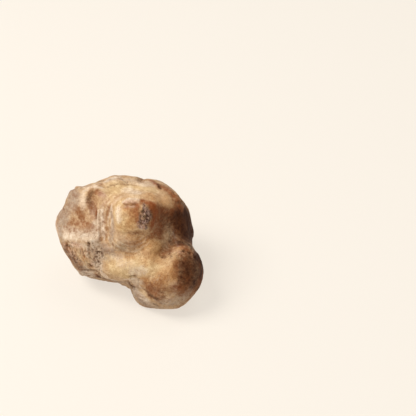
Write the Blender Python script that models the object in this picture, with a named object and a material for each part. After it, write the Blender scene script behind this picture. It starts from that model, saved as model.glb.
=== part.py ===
"""White truffle: a knobbly wild fungus, grown as one piece and resting on the small flat spot it settled on.

Run it with: blender --background --python part.py
Metres, +Z up. The origin is the middle of the truffle's box, on the surface that it rests on.

The body is a heap of soft lobes that melt into each other. They are described in millimetres with the
truffle lying face up: x to the right, y to its top, z out of its face. The surface of a finely divided
ball is then drawn in onto that heap, and the truffle is tipped forward into the way it rests.
"""

import math

import bmesh
import bpy
import numpy as np
from mathutils import Matrix, Vector

MM = 0.001

# How the truffle rests.
TIP_DEG = 50.0  # from face up, forward onto its resting side
FLAT_HEIGHT = 2.4  # how much of its lowest side is pressed flat, mm

# The ball that is drawn in: rows of faces along each edge of the cube it is made from.
BALL_ROWS = 27
BALL_RADIUS = 60.0
BALL_CENTRE = (-0.5, 1.0, 0.0)
DRAW_ROUNDS = 120
DRAW_STEP = 0.7  # share of the distance left, so that no point overshoots

# Evening out of the drawn-in faces.
RELAX_ROUNDS = 40
RELAX_STEP = 0.5
SLOPE_STEP = 0.05  # half the span over which the surface's slope is measured, mm

# Lobes: name, middle, half sizes along x, y and z, and how far each one melts into the rest, all in mm.
LOBES = (
    ("core", (-1.5, 3.0, -3.0), (20.5, 18.0, 15.5), 6.0),
    ("left_block", (-14.0, 4.5, -1.0), (19.0, 23.0, 16.5), 3.5),
    ("crown", (0.0, 15.5, -4.0), (17.0, 11.2, 13.0), 5.0),
    ("shoulder", (11.0, 9.5, -2.0), (13.0, 12.0, 13.0), 6.0),
    ("shoulder_bump", (14.0, 15.0, 3.5), (6.5, 5.5, 6.0), 4.0),
    ("right_side", (14.0, 1.5, -4.0), (10.7, 9.0, 11.0), 5.0),
    ("knob", (4.0, 10.5, 9.5), (12.0, 9.5, 11.5), 4.0),
    ("chin", (-0.5, -0.2, 8.0), (9.5, 6.0, 9.6), 3.0),
    ("belly", (3.5, -8.8, 4.0), (15.0, 6.4, 12.0), 4.0),
    ("heel", (16.1, -12.0, 3.5), (12.9, 13.4, 13.2), 5.0),
    ("heel_fold", (8.5, -18.0, -0.5), (8.5, 8.2, 8.5), 3.0),
    ("neck", (17.5, -3.5, 8.0), (7.5, 4.0, 6.0), 4.0),
    ("throat", (9.0, -1.5, 6.5), (8.0, 5.5, 8.6), 4.0),
    ("back_left", (-10.0, 7.0, -12.0), (12.0, 12.0, 11.0), 5.0),
    ("back_right", (9.0, 7.0, -13.0), (12.5, 12.5, 11.0), 5.0),
    ("back_low", (-3.0, -6.5, -11.0), (15.0, 9.3, 12.0), 5.0),
)

# Flat sides that a lobe has from growing against stones: the lobe, the way the side faces, how far out it is
# from the middle of the face-up frame, and how round its edges are, in mm.
FACETS = (
    ("left_block", (-0.868, 0.497, 0.0), 29.9, 2.5),
    ("left_block", (-0.250, 0.968, 0.0), 26.8, 2.5),
    ("left_block", (-0.983, -0.180, 0.0), 27.4, 2.5),
    ("left_block", (-0.885, -0.465, 0.1), 24.0, 2.5),
    ("left_block", (-0.333, -0.943, 0.1), 18.1, 2.5),
    ("left_block", (-0.550, 0.080, 0.83), 18.5, 2.5),
    ("left_block", (-0.420, -0.550, 0.72), 14.6, 2.5),
)

# Hollows between the lobes: name, middle, half sizes, and how softly each one's edge rolls in, in mm.
HOLLOWS = (
    ("right_hollow", (19.5, 7.2, 20.0), (9.5, 6.6, 10.5), 4.0),
    ("dimple", (-13.4, 17.6, 17.0), (3.4, 5.0, 5.0), 2.0),
)

# Furrows: name, start, end, radius of the rod that would lie in one, and how softly its edge rolls in, in mm.
FURROWS = (
    ("knob_furrow", (-9.3, 16.0, 16.5), (-8.6, -0.5, 16.6), 3.2, 3.0),
    ("chin_furrow", (-7.9, -4.4, 17.3), (6.0, -3.2, 18.2), 2.6, 3.5),
    ("neck_furrow", (13.0, -5.2, 16.6), (18.3, 2.2, 13.0), 3.0, 3.0),
    ("back_furrow", (-3.0, 20.0, -22.0), (1.5, -4.0, -27.0), 4.0, 4.0),
)


def melt(near, other, reach):
    """Distance to two bodies that flow into each other over a reach."""
    closeness = np.clip(reach - np.abs(near - other), 0.0, None) / reach
    return np.minimum(near, other) - closeness**2 * reach / 4


def ellipsoid(points, middle, half):
    """Distance from points to an ellipsoid, near enough for drawing a surface in."""
    offset = (points - np.array(middle)) / np.array(half)
    size = np.linalg.norm(offset, axis=1) + 1e-9
    slope = np.linalg.norm(offset / np.array(half), axis=1) + 1e-9
    return size * (size - 1.0) / slope


def rod(points, start, end, radius):
    """Distance from points to a round-ended rod."""
    start = np.array(start)
    along = np.array(end) - start
    share = np.clip((points - start) @ along / (along @ along), 0.0, 1.0)
    return np.linalg.norm(points - start - share[:, None] * along, axis=1) - radius


def pare(body, cut, roundness):
    """Distance to a body with the cut taken away, the cut's edge rounded."""
    return -melt(-body, cut, roundness)


def lobe_distance(points, name, middle, half):
    """Distance from points to one lobe, with its own flat sides taken off."""
    distance = ellipsoid(points, middle, half)
    for lobe, facing, offset, roundness in FACETS:
        if lobe == name:
            unit = np.array(Vector(facing).normalized())
            distance = pare(distance, offset - points @ unit, roundness)
    return distance


def body_distance(points):
    """Distance from points to the truffle's surface, in mm: negative inside."""
    distance = lobe_distance(points, *LOBES[0][:3])
    for name, middle, half, reach in LOBES[1:]:
        distance = melt(distance, lobe_distance(points, name, middle, half), reach)
    for _, middle, half, roundness in HOLLOWS:
        distance = pare(distance, ellipsoid(points, middle, half), roundness)
    for _, start, end, radius, roundness in FURROWS:
        distance = pare(distance, rod(points, start, end, radius), roundness)
    return distance


def make_ball():
    """A cube, divided evenly and blown up to a ball, so that its faces are all about one size."""
    bpy.ops.mesh.primitive_cube_add(size=2.0)
    ball = bpy.context.object
    grid = bmesh.new()
    grid.from_mesh(ball.data)
    bmesh.ops.subdivide_edges(grid, edges=grid.edges, cuts=BALL_ROWS - 1, use_grid_fill=True)
    for vertex in grid.verts:
        even = Vector(math.tan(axis * math.pi / 4) for axis in vertex.co)
        vertex.co = even.normalized() * BALL_RADIUS
    grid.to_mesh(ball.data)
    grid.free()
    return ball


def draw_in(ball):
    """Slides every point of the ball towards its middle until it meets the truffle's surface."""
    places = np.array([vertex.co for vertex in ball.data.vertices])
    inward = -places / np.linalg.norm(places, axis=1)[:, None]
    places = places + np.array(BALL_CENTRE)
    for _ in range(DRAW_ROUNDS):
        places += inward * (DRAW_STEP * body_distance(places))[:, None]
    ball.data.vertices.foreach_set("co", places.ravel())


def relax(body):
    """Evens out the faces: points drift to the middle of their neighbours, then back onto the surface."""
    places = np.array([vertex.co for vertex in body.data.vertices])
    edges = np.array([edge.vertices for edge in body.data.edges])
    ends, others = edges.ravel(), edges[:, ::-1].ravel()
    shares = np.bincount(ends, minlength=len(places))[:, None]
    for _ in range(RELAX_ROUNDS):
        middles = np.zeros_like(places)
        np.add.at(middles, ends, places[others])
        places += RELAX_STEP * (middles / shares - places)
        slope = np.stack([body_distance(places + step) - body_distance(places - step)
                          for step in np.eye(3) * SLOPE_STEP], axis=1)
        slope /= np.linalg.norm(slope, axis=1)[:, None]
        places -= slope * body_distance(places)[:, None]
    body.data.vertices.foreach_set("co", places.ravel())


def lay_down(body):
    """Tips the truffle forward, presses its lowest side flat and puts that side's plane on the floor."""
    body.data.transform(Matrix.Rotation(math.radians(TIP_DEG), 4, "X"))
    floor = min(vertex.co.z for vertex in body.data.vertices) + FLAT_HEIGHT
    for vertex in body.data.vertices:
        vertex.co.z = max(vertex.co.z - floor, 0.0)
    low = Vector(min(vertex.co[axis] for vertex in body.data.vertices) for axis in range(3))
    high = Vector(max(vertex.co[axis] for vertex in body.data.vertices) for axis in range(3))
    middle = (low + high) / 2
    body.data.transform(Matrix.Translation((-middle.x, -middle.y, 0.0)))
    body.data.transform(Matrix.Scale(MM, 4))


def make_skin_material():
    """Pale ochre skin, dry and matte."""
    skin = bpy.data.materials.new("truffle_skin")
    skin.use_nodes = True
    shader = skin.node_tree.nodes["Principled BSDF"]
    shader.inputs["Base Color"].default_value = (0.48, 0.31, 0.15, 1.0)
    shader.inputs["Roughness"].default_value = 0.62
    shader.inputs["Metallic"].default_value = 0.0
    return skin


def main():
    for old in list(bpy.data.objects):
        bpy.data.objects.remove(old, do_unlink=True)
    truffle = make_ball()
    truffle.name = "truffle"
    draw_in(truffle)
    relax(truffle)
    lay_down(truffle)
    truffle.data.shade_smooth()
    truffle.data.materials.append(make_skin_material())
    parts = bpy.data.collections.new("white_truffle")
    bpy.context.scene.collection.children.link(parts)
    bpy.context.collection.objects.unlink(truffle)
    parts.objects.link(truffle)


main()
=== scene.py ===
# %% [markdown]
# # A white truffle, carved and painted in Blender
#
# A white truffle grows under the ground, squeezed between roots and stones. So it has no plan: it is a heap
# of soft lobes with flat sides, grown-over scars, wrinkles where the skin has shrunk, and soil in every
# crease. This lesson starts from the plain solid of the body. It gives it a fine skin, carves that skin
# with brush strokes, as a sculptor would, and then paints it with pigments that a node material breaks up
# into natural patches. Each cell prints what it made, so the numbers can be checked while reading.

# %% Load the body
import math

import bpy
import numpy as np
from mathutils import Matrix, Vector, noise
from mathutils.bvhtree import BVHTree


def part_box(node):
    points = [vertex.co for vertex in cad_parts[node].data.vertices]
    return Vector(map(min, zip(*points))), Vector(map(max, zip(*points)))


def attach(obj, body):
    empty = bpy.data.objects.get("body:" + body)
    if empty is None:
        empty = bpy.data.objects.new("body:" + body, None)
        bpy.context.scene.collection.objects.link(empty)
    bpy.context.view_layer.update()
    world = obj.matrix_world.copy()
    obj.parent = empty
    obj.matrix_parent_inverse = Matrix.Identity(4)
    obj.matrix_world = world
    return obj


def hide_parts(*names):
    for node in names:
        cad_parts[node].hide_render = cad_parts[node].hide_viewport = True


MM = 0.001

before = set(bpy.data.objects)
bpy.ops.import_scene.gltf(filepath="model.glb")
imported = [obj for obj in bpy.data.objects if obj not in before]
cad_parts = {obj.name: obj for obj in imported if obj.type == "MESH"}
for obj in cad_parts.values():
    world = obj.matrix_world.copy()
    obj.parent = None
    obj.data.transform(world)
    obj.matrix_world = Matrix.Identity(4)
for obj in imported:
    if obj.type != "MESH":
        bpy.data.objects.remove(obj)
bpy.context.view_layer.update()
low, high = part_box("truffle")
middle = (low + high) / 2
print("body, mm:", [round(side / MM, 1) for side in high - low])

# %% [markdown]
# ## The face and the camera
#
# The truffle is looked at from the front and from above. It helps to give that side a name, the face, and
# to measure on it as one would on a drawing: millimetres across to the right, and millimetres up, from the
# middle of the body. Three directions make that drawing's axes. The camera then looks straight at the
# drawing, from a little to the right of the truffle and above it, so that the truffle stands at the left of
# the picture.

# %% Name the face's directions and place the camera
LOOK_DOWN = math.radians(40)
EYE_ACROSS, EYE_UP, EYE_OUT = 31.0 * MM, 11.1 * MM, 455.5 * MM
LENS, FILM_WIDTH = 100, 36

across = Vector((1, 0, 0))
up = Vector((0, math.sin(LOOK_DOWN), math.cos(LOOK_DOWN)))
out = Vector((0, -math.cos(LOOK_DOWN), math.sin(LOOK_DOWN)))
eye = middle + across * EYE_ACROSS + up * EYE_UP + out * EYE_OUT

camera_data = bpy.data.cameras.new("camera")
camera_data.lens = LENS
camera_data.sensor_width = FILM_WIDTH
camera = bpy.data.objects.new("camera", camera_data)
camera.location = eye
camera.rotation_euler = (math.pi / 2 - LOOK_DOWN, 0, 0)
bpy.context.scene.collection.objects.link(camera)
bpy.context.scene.camera = camera
print("camera, mm:", [round(place / MM) for place in eye])

# %% [markdown]
# ## The floor
#
# The floor is one pale sheet. It throws light back up, and that is what makes the undersides of the lobes
# warm instead of black. A little of its own glow keeps the shadow on it light. A light path node lets a
# thing glow with one strength where the camera looks straight at it and with another where it only throws
# light. The sky needs the same, so a helper makes it.

# %% Lay the floor
FLOOR_SIZE = 6.0
FLOOR_COLOUR = (0.30, 0.280, 0.252, 1)
FLOOR_GLOW = (0.657, 0.612, 0.549, 1)
GLOW_THROWN, GLOW_SEEN = 0.85, 1.0


def glow_strength(tree, thrown, seen):
    """The strength of a glow: one for the light it throws, another for what the camera sees of it."""
    strength = tree.nodes.new("ShaderNodeMapRange")
    strength.inputs["To Min"].default_value = thrown
    strength.inputs["To Max"].default_value = seen
    is_seen = tree.nodes.new("ShaderNodeLightPath").outputs["Is Camera Ray"]
    tree.links.new(is_seen, strength.inputs["Value"])
    return strength.outputs["Result"]


floor_material = bpy.data.materials.new("pale_floor")
floor_material.use_nodes = True
floor_tree = floor_material.node_tree
floor_shader = floor_tree.nodes["Principled BSDF"]
floor_shader.inputs["Base Color"].default_value = FLOOR_COLOUR
floor_shader.inputs["Emission Color"].default_value = FLOOR_GLOW
floor_shader.inputs["Roughness"].default_value = 1.0
floor_shader.inputs["Specular IOR Level"].default_value = 0.0
floor_glow = glow_strength(floor_tree, GLOW_THROWN, GLOW_SEEN)
floor_tree.links.new(floor_glow, floor_shader.inputs["Emission Strength"])

bpy.ops.mesh.primitive_plane_add(size=FLOOR_SIZE)
floor = bpy.context.object
floor.name = "floor"
floor.data.materials.append(floor_material)
print("floor, m:", FLOOR_SIZE)

# %% [markdown]
# ## The light
#
# The light is that of a small studio. A large soft key lamp hangs at the upper left, and it alone shapes
# the lobes. Three weak lamps help it: one from above, one from the front that opens the shadows a little,
# and one from behind that keeps the far side readable. The sky is pale, and throws only a little light.

# %% Hang the lamps
# Name, direction across, up and out, distance and size in metres, and power in watts.
LAMPS = (
    ("key_lamp", (-0.55, 0.62, 0.62), 0.9, 0.50, 7.4),
    ("top_lamp", (0.30, 0.90, 0.30), 1.0, 0.60, 1.5),
    ("front_lamp", (-0.1, 0.0, 1.0), 1.0, 0.50, 1.2),
    ("back_lamp", (0.3, 0.8, -0.8), 1.0, 0.60, 1.2),
)
WARM_WHITE = (1.0, 0.975, 0.94)
SKY_COLOUR = (1.0, 0.965, 0.92, 1)
SKY_THROWN, SKY_SEEN = 0.26, 0.90


def hang_lamp(name, direction, distance, size, power):
    """A square lamp that looks at the truffle."""
    facing = (across * direction[0] + up * direction[1] + out * direction[2]).normalized()
    data = bpy.data.lights.new(name, "AREA")
    data.shape = "SQUARE"
    data.size = size
    data.energy = power
    data.color = WARM_WHITE
    lamp = bpy.data.objects.new(name, data)
    lamp.location = middle + facing * distance
    lamp.rotation_euler = facing.to_track_quat("Z", "Y").to_euler()
    bpy.context.scene.collection.objects.link(lamp)
    print(name, "W:", power)


for lamp in LAMPS:
    hang_lamp(*lamp)

sky = bpy.data.worlds.new("studio")
sky.use_nodes = True
sky_light = sky.node_tree.nodes["Background"]
sky_light.inputs["Color"].default_value = SKY_COLOUR
sky_glow = glow_strength(sky.node_tree, SKY_THROWN, SKY_SEEN)
sky.node_tree.links.new(sky_glow, sky_light.inputs["Strength"])
bpy.context.scene.world = sky
bpy.context.scene.view_settings.view_transform = "Standard"

# %% [markdown]
# ## From the plain body to a fine skin
#
# The body that was loaded is a smooth solid of a few thousand triangles. Its mesh is only read, so the work
# is done on a copy. The copy's loose triangles are merged, rounded by a Subdivision Surface and rebuilt by
# a voxel Remesh, which gives even quads a third of a millimetre wide: fine enough to carve a wrinkle into.
# A Smooth modifier then takes away the steps that voxels leave.

# %% Make the skin mesh
MERGE_GAP = 0.001 * MM
ROUND_LEVELS = 2
VOXEL = 0.355 * MM
SOFTEN_SHARE, SOFTEN_ROUNDS = 0.5, 12

bpy.ops.object.select_all(action="DESELECT")
skin = bpy.data.objects.new("truffle_skin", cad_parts["truffle"].data.copy())
bpy.context.scene.collection.objects.link(skin)
bpy.context.view_layer.objects.active = skin
skin.select_set(True)
skin.data.materials.clear()
bpy.ops.object.mode_set(mode="EDIT")
bpy.ops.mesh.select_all(action="SELECT")
bpy.ops.mesh.remove_doubles(threshold=MERGE_GAP)
bpy.ops.mesh.tris_convert_to_quads()
bpy.ops.object.mode_set(mode="OBJECT")


def apply_modifier(kind, **settings):
    """Adds a modifier to the skin, gives it its settings and applies it."""
    modifier = skin.modifiers.new(kind.lower(), kind)
    for name, value in settings.items():
        setattr(modifier, name, value)
    bpy.ops.object.modifier_apply(modifier=modifier.name)
    print(kind.lower(), "leaves", len(skin.data.polygons), "faces")


apply_modifier("SUBSURF", levels=ROUND_LEVELS, render_levels=ROUND_LEVELS)
apply_modifier("REMESH", mode="VOXEL", voxel_size=VOXEL)
apply_modifier("SMOOTH", factor=SOFTEN_SHARE, iterations=SOFTEN_ROUNDS)
bpy.ops.object.shade_smooth()

# %% [markdown]
# ## Arrays and clouds
#
# The skin has nearly a hundred thousand points. Their places and normals are read into arrays, so that a
# brush can work on all the points near it at once. What gives a truffle its character is disorder, and that
# comes from clouds: a noise with blobs of a chosen size, looked up at each point. A seed moves a cloud
# elsewhere, so each use has its own, and it is the same each time the lesson is run.

# %% Read the skin into arrays
FALL, LACUNARITY = 1.0, 2.0
WOBBLE_SIZE = 2.2
WOBBLE = 0.35 * MM
WOBBLE_SEEDS = (11.0, 23.0, 37.0)

count = len(skin.data.vertices)


def read_points(kind):
    """The places or the normals of the skin's points, one row for each."""
    numbers = np.empty(count * 3)
    skin.data.vertices.foreach_get(kind, numbers)
    return numbers.reshape(-1, 3)


def cloud(size, octaves=4, seed=0.0):
    """A cloudy value for each point of the skin, about -1 to 1, in blobs some size millimetres wide."""
    shift = Vector((seed, 2.7 * seed, -1.3 * seed))
    scaled = places / (size * MM)
    return np.array([noise.fractal(Vector(place) + shift, FALL, LACUNARITY, octaves) for place in scaled])


places = read_points("co")
normals = read_points("normal")
surface = BVHTree.FromObject(skin, bpy.context.evaluated_depsgraph_get())
wobble = np.stack([cloud(WOBBLE_SIZE, 3, seed) for seed in WOBBLE_SEEDS], axis=1) * WOBBLE
print("skin, points:", count)

# %% [markdown]
# ## Brushes
#
# Sculpting by hand means dragging a brush over the skin. In code a stroke is a line of places with a reach,
# and what it does to a point of the skin depends only on how far away that point is. The places are found
# by shooting a ray at the skin: from the camera's eye for a place on the face, or inward from all round for
# the sides and the back. Every point is first pushed about a little by the wobble, a cloud, before its
# distance is measured, so that no stroke has a clean edge: nothing on a truffle does.

# %% Find places on the skin
CURVE_PARTS = 6
TINY = 1e-12


def on_face(x, y):
    """The place that the camera sees x mm across and y mm up on the face."""
    target = middle + across * x * MM + up * y * MM
    hit = surface.ray_cast(eye, (target - eye).normalized())[0]
    return hit or surface.find_nearest(target)[0]


def all_round(turn, rise):
    """The place in a direction from the middle: turn degrees round from the front, and rise degrees up."""
    turn, rise = math.radians(turn), math.radians(rise)
    way = Vector((math.sin(turn) * math.cos(rise), -math.cos(turn) * math.cos(rise), math.sin(rise)))
    return surface.ray_cast(middle + way * (high - low).length, -way)[0]


def curve_through(spots):
    """Close places on a smooth curve through a few of them (a Catmull-Rom curve)."""
    spots = [np.array(spot) for spot in spots]
    if len(spots) == 1:
        return spots
    ends = [spots[0], *spots, spots[-1]]
    curve = []
    for before, start, end, after in zip(ends, ends[1:], ends[2:], ends[3:]):
        for step in np.arange(CURVE_PARTS) / CURVE_PARTS:
            bend = 2 * before - 5 * start + 4 * end - after
            turn = 3 * start - before - 3 * end + after
            curve.append((2 * start + (end - before) * step + bend * step**2 + turn * step**3) / 2)
    return curve + [spots[-1]]


def stroke(spots, reach, finder=on_face):
    """The skin's points within reach of a stroke: which, how far off it, and how far along it."""
    line = np.array([finder(*spot) for spot in curve_through(spots)])
    margin = reach + WOBBLE
    inside = np.all((places > line.min(0) - margin) & (places < line.max(0) + margin), axis=1)
    near = np.nonzero(inside)[0]
    moved = places[near] + wobble[near]
    if len(line) == 1:
        return near, np.linalg.norm(moved - line[0], axis=1), np.full(len(near), 0.5)
    best = np.full(len(near), np.inf)
    along = np.zeros(len(near))
    for number, (start, end) in enumerate(zip(line, line[1:])):
        leg = end - start
        share = np.clip((moved - start) @ leg / (leg @ leg + TINY), 0, 1)
        gap = np.linalg.norm(moved - start - share[:, None] * leg, axis=1)
        closer = gap < best
        best[closer] = gap[closer]
        along[closer] = ((number + share) / (len(line) - 1))[closer]
    return near, best, along


print("middle of the face, mm:", [round(place / MM, 1) for place in on_face(0, 0)])

# %% [markdown]
# ## Carving
#
# The relief is one number for each point: how far the skin moves out along its normal. A crease digs a
# narrow line that fades at both ends and throws up a low lip on each side, as shrinking skin does. A swell
# lifts or sinks a soft round patch. Both only add to the relief, so the strokes can be given in any order.
# What a crease digs also fills with soil, and that is kept for the paint.

# %% Carving tools
CREASE_REACH = 4
LIP_PLACE, LIP_SHARE = 2.2, 0.25
END_FADE = 5.0
SWELL_REACH, SWELL_STEEPNESS = 2, 1.5
PIT_WIDTH, PIT_DEPTH = 0.5, 0.45

relief = np.zeros(count)
soil = np.zeros(count)


def crease(spots, width, depth, finder=on_face):
    """Digs a crease, width and depth in mm, with a low lip on each side."""
    reach = width * MM
    near, gap, along = stroke(spots, CREASE_REACH * reach, finder)
    fade = np.clip(np.minimum(along, 1 - along) * END_FADE, 0, 1) if len(spots) > 1 else 1
    groove = np.exp(-((gap / reach) ** 2))
    lip = np.exp(-((gap / reach - LIP_PLACE) ** 2))
    relief[near] += depth * MM * fade * (LIP_SHARE * lip - groove)
    soil[near] += depth * fade * groove


def swell(spots, radius, height, finder=on_face):
    """Lifts a soft patch, radius and height in mm, or sinks it where the height is below zero."""
    near, gap, _ = stroke(spots, SWELL_REACH * radius * MM, finder)
    relief[near] += height * MM * np.exp(-((gap / (radius * MM)) ** 2) * SWELL_STEEPNESS)


def carve(title, tool, strokes, finder=on_face):
    """Carves a list of strokes with one tool. Each has a name, two sizes in mm, and its places."""
    for _, size, amount, *spots in strokes:
        tool(spots, size, amount, finder)
    print(title + ":", len(strokes))


# %% [markdown]
# ### Creases of the face
#
# The creases follow what grew there. A fold runs round the dimple at the upper left, and lines cross the
# crown and the chin. Below the flat scar at the left the skin has shrunk and cracked. The ledge under it,
# the flap and the long fold at the heel's left edge are the deepest, and the wart on the knob is split by
# three cracks.

# %% Crease the face
# Name, width and depth in mm, and places across and up on the face in mm.
carve("creases on the face", crease, (
    ("crown", 0.6, 0.14, (-13.2, 20.4), (-10.0, 19.5), (-6.9, 19.5), (-2.9, 20.4), (2.6, 19.8)),
    ("crown_high", 0.5, 0.05, (-6.9, 22.6), (-2.1, 21.8), (3.0, 22.2)),
    ("dimple_left", 0.9, 0.4, (-13.6, 18.1), (-15.3, 16.9), (-16.3, 15.1), (-16.3, 12.4)),
    ("dimple_foot", 0.5, 0.2, (-14.4, 12.7), (-14.0, 9.6), (-13.2, 7.6)),
    ("ridge_side", 0.4, 0.22, (-13.0, 12.7), (-12.8, 8.0), (-13.0, 4.1)),
    ("lens_foot", 0.45, 0.3, (-2.5, 12.8), (-0.6, 12.3), (1.4, 12.4), (3.4, 12.9)),
    ("lens_top", 0.35, 0.12, (-1.7, 14.3), (0.6, 14.9), (3.0, 14.5)),
    ("knob_line", 0.5, 0.14, (-4.9, 1.9), (-1.7, 1.1), (1.8, 1.1), (5.0, 1.3)),
    ("chin_left", 0.8, 0.12, (-7.7, -1.5), (-6.1, -3.8), (-3.3, -5.4), (-0.6, -5.8)),
    ("chin_middle", 0.5, 0.08, (-4.5, -1.5), (-2.1, -3.0), (0.6, -2.6)),
    ("shoulder_low", 0.9, 0.14, (8.1, 12.0), (12.1, 10.8), (16.0, 9.6)),
    ("hollow_fold_left", 0.8, 0.16, (12.1, 11.2), (13.3, 7.6), (13.7, 4.1), (12.5, 0.9)),
    ("hollow_fold_right", 0.7, 0.18, (17.2, 11.6), (18.8, 7.6), (19.6, 3.3)),
    ("streak_side", 0.5, 0.3, (16.4, 1.7), (16.6, -1.1), (17.6, -3.8)),
    ("neck_ridge", 0.5, 0.2, (15.2, -8.6), (17.2, -7.8), (19.6, -5.4)),
    ("neck_crack", 0.5, 0.3, (20.4, -5.0), (22.3, -6.2), (24.3, -7.8)),
    ("scar_foot", 0.6, 0.14, (-26.6, -1.5), (-24.2, -2.6), (-21.5, -3.0), (-17.9, -3.4), (-15.5, -2.6)),
    ("scar_loop", 0.4, 0.2, (-25.0, -2.2), (-24.2, -3.8), (-22.7, -3.2), (-23.4, -2.1)),
    ("crack_tall", 0.45, 0.28, (-15.9, -1.9), (-16.1, -4.6), (-15.5, -7.8), (-14.8, -10.1)),
    ("crack_loop", 0.5, 0.42, (-13.6, -7.0), (-12.4, -6.4), (-11.0, -6.8), (-10.4, -8.6)),
    ("crack_inner", 0.4, 0.28, (-14.4, -3.8), (-13.0, -5.8), (-12.8, -8.2), (-13.6, -10.1), (-12.4, -12.1)),
    ("crack_low", 0.5, 0.3, (-17.1, -10.5), (-15.5, -11.3), (-14.4, -12.5)),
    ("under_chin", 0.8, 0.22, (-11.6, -4.6), (-9.2, -6.2), (-6.5, -7.0), (-3.7, -7.4)),
    ("low_streak_1", 0.5, 0.16, (-23.0, -4.6), (-21.9, -7.0), (-19.9, -9.4), (-18.7, -11.3)),
    ("low_streak_2", 0.5, 0.18, (-21.1, -4.6), (-19.9, -6.6), (-18.3, -9.0), (-17.1, -10.9)),
    ("low_streak_3", 0.5, 0.16, (-24.6, -5.8), (-23.4, -8.2), (-21.9, -10.1)),
    ("low_streak_4", 0.4, 0.14, (-18.7, -5.0), (-17.9, -7.0), (-16.3, -9.4)),
    ("ledge", 0.6, 0.45, (-21.1, -12.5), (-18.3, -13.5), (-15.2, -13.5), (-12.8, -14.1), (-11.2, -16.1)),
    ("ledge_streak", 0.4, 0.14, (-19.5, -14.9), (-16.7, -15.7), (-14.0, -16.7)),
    ("belly_lip", 0.5, 0.4, (-12.4, -13.3), (-11.2, -15.3), (-9.2, -16.8), (-6.5, -17.6)),
    ("flap_foot", 0.5, 0.5, (-0.6, -18.0), (0.6, -19.6), (2.2, -20.8)),
    ("flap_top", 0.45, 0.35, (-0.2, -16.3), (1.4, -15.7), (3.0, -16.0)),
    ("flap_side", 0.4, 0.25, (3.6, -16.5), (3.8, -18.4), (3.0, -20.0)),
    ("fold", 1.0, 0.28, (5.0, -20.8), (6.2, -21.6), (7.5, -23.0), (9.7, -24.5), (11.7, -25.7)),
    ("fold_streak", 0.4, 0.16, (1.8, -22.8), (3.8, -25.1), (6.6, -26.7), (9.3, -27.7)),
    ("heel_line_1", 0.5, 0.2, (11.3, -22.0), (14.0, -22.4)),
    ("heel_line_2", 0.5, 0.18, (12.1, -24.3), (14.8, -24.3)),
    ("heel_line_3", 0.5, 0.14, (16.8, -20.4), (19.2, -20.8), (21.5, -19.6)),
    ("wart_1", 0.4, 0.5, (6.0, 12.0), (5.6, 9.6), (6.2, 7.2), (5.8, 4.5)),
    ("wart_2", 0.4, 0.45, (7.3, 10.6), (6.9, 8.0), (7.3, 5.6)),
    ("wart_3", 0.4, 0.4, (4.4, 8.4), (4.8, 6.4), (4.6, 4.1)),
))

# %% [markdown]
# ### Swells of the face
#
# A plain body is too even to be true. Swells raise the scar's ridge, the lens-shaped scar, the wart, the
# flap and the lips of the folds, and sink the dimple and the groove beside the neck. The broad ones at the
# edges bring the outline to its real, uneven line.

# %% Lift and sink the face
# Name, radius and height in mm, and places across and up on the face in mm.
carve("swells on the face", swell, (
    ("dimple", 2.4, -1.3, (-15.0, 16.3), (-14.8, 12.7)),
    ("dimple_rim", 1.6, -0.3, (-17.1, 18.3), (-15.2, 19.5), (-12.8, 19.8), (-10.8, 19.5)),
    ("scar_ridge", 0.7, 0.35, (-12.2, 10.0), (-12.2, 4.1), (-12.4, -1.9)),
    ("crown_band", 1.6, 0.22, (-9.6, 21.4), (-2.9, 21.4), (3.0, 21.0)),
    ("lens", 0.9, 0.35, (-0.9, 13.5), (1.4, 13.7), (3.4, 13.9)),
    ("wart", 2.0, 0.6, (6.2, 10.8), (6.6, 8.0), (5.8, 3.7)),
    ("shoulder_bump", 2.2, 0.6, (15.2, 14.3)),
    ("streak", 0.7, 0.45, (16.8, 2.1), (17.6, -0.7), (18.8, -3.0)),
    ("ledge_band", 1.4, 0.5, (-19.5, -14.7), (-14.4, -15.9)),
    ("belly_lip", 0.8, 0.3, (-11.2, -13.3), (-10.0, -15.7), (-6.9, -16.8)),
    ("flap", 1.4, 0.8, (1.0, -17.2), (2.2, -18.8)),
    ("fold", 1.4, 0.45, (2.2, -21.2), (4.2, -24.0), (7.7, -26.3)),
    ("neck_left", 1.2, 0.3, (16.8, -7.8), (19.2, -6.6)),
    ("hollow_bulge", 2.4, 0.3, (13.7, 5.6)),
    ("low_edge", 3.4, -1.9, (-11.2, -18.0), (-7.7, -18.6)),
    ("left_corner", 2.2, -1.1, (-23.8, 17.3)),
    ("left_bulge", 2.8, 0.5, (-28.4, 7.2), (-28.4, 5.2)),
    ("left_slope", 2.8, -0.55, (-27.0, 12.0)),
    ("heel_right_high", 2.4, 0.6, (27.1, -7.8), (27.9, -10.9)),
    ("top_left", 4.4, -1.7, (-17.9, 20.6), (-15.5, 21.4), (-12.8, 22.2)),
    ("heel_bottom", 2.6, 0.9, (11.3, -27.5), (15.2, -27.9), (19.6, -27.1)),
    ("groove", 1.9, -0.6, (16.4, -1.5), (14.4, -4.2), (12.5, -7.0)),
    ("shoulder_low", 2.2, 0.7, (10.5, 12.4), (14.0, 11.2), (17.6, 10.4)),
    ("belly_corner", 2.0, 0.9, (-2.5, -18.8), (-0.6, -20.0)),
))

# %% [markdown]
# ### Pits of the face
#
# Insects and little stones leave pits. Each is a crease of a single place, which makes a round hole with a
# rim.

# %% Prick the face
FACE_PITS = (
    (-12.0, -7.0), (-12.4, -10.3), (-15.5, -11.7), (-15.9, -3.0), (12.9, -8.2), (14.0, -8.4),
    (15.6, -6.8), (16.4, -7.8), (21.5, -5.8), (23.7, -6.8), (25.5, -8.2), (12.5, -26.3), (10.9, -24.7),
    (-17.5, -6.2), (12.1, 19.5),
)

for spot in FACE_PITS:
    crease((spot,), PIT_WIDTH, PIT_DEPTH)
print("pits on the face:", len(FACE_PITS))

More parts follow.
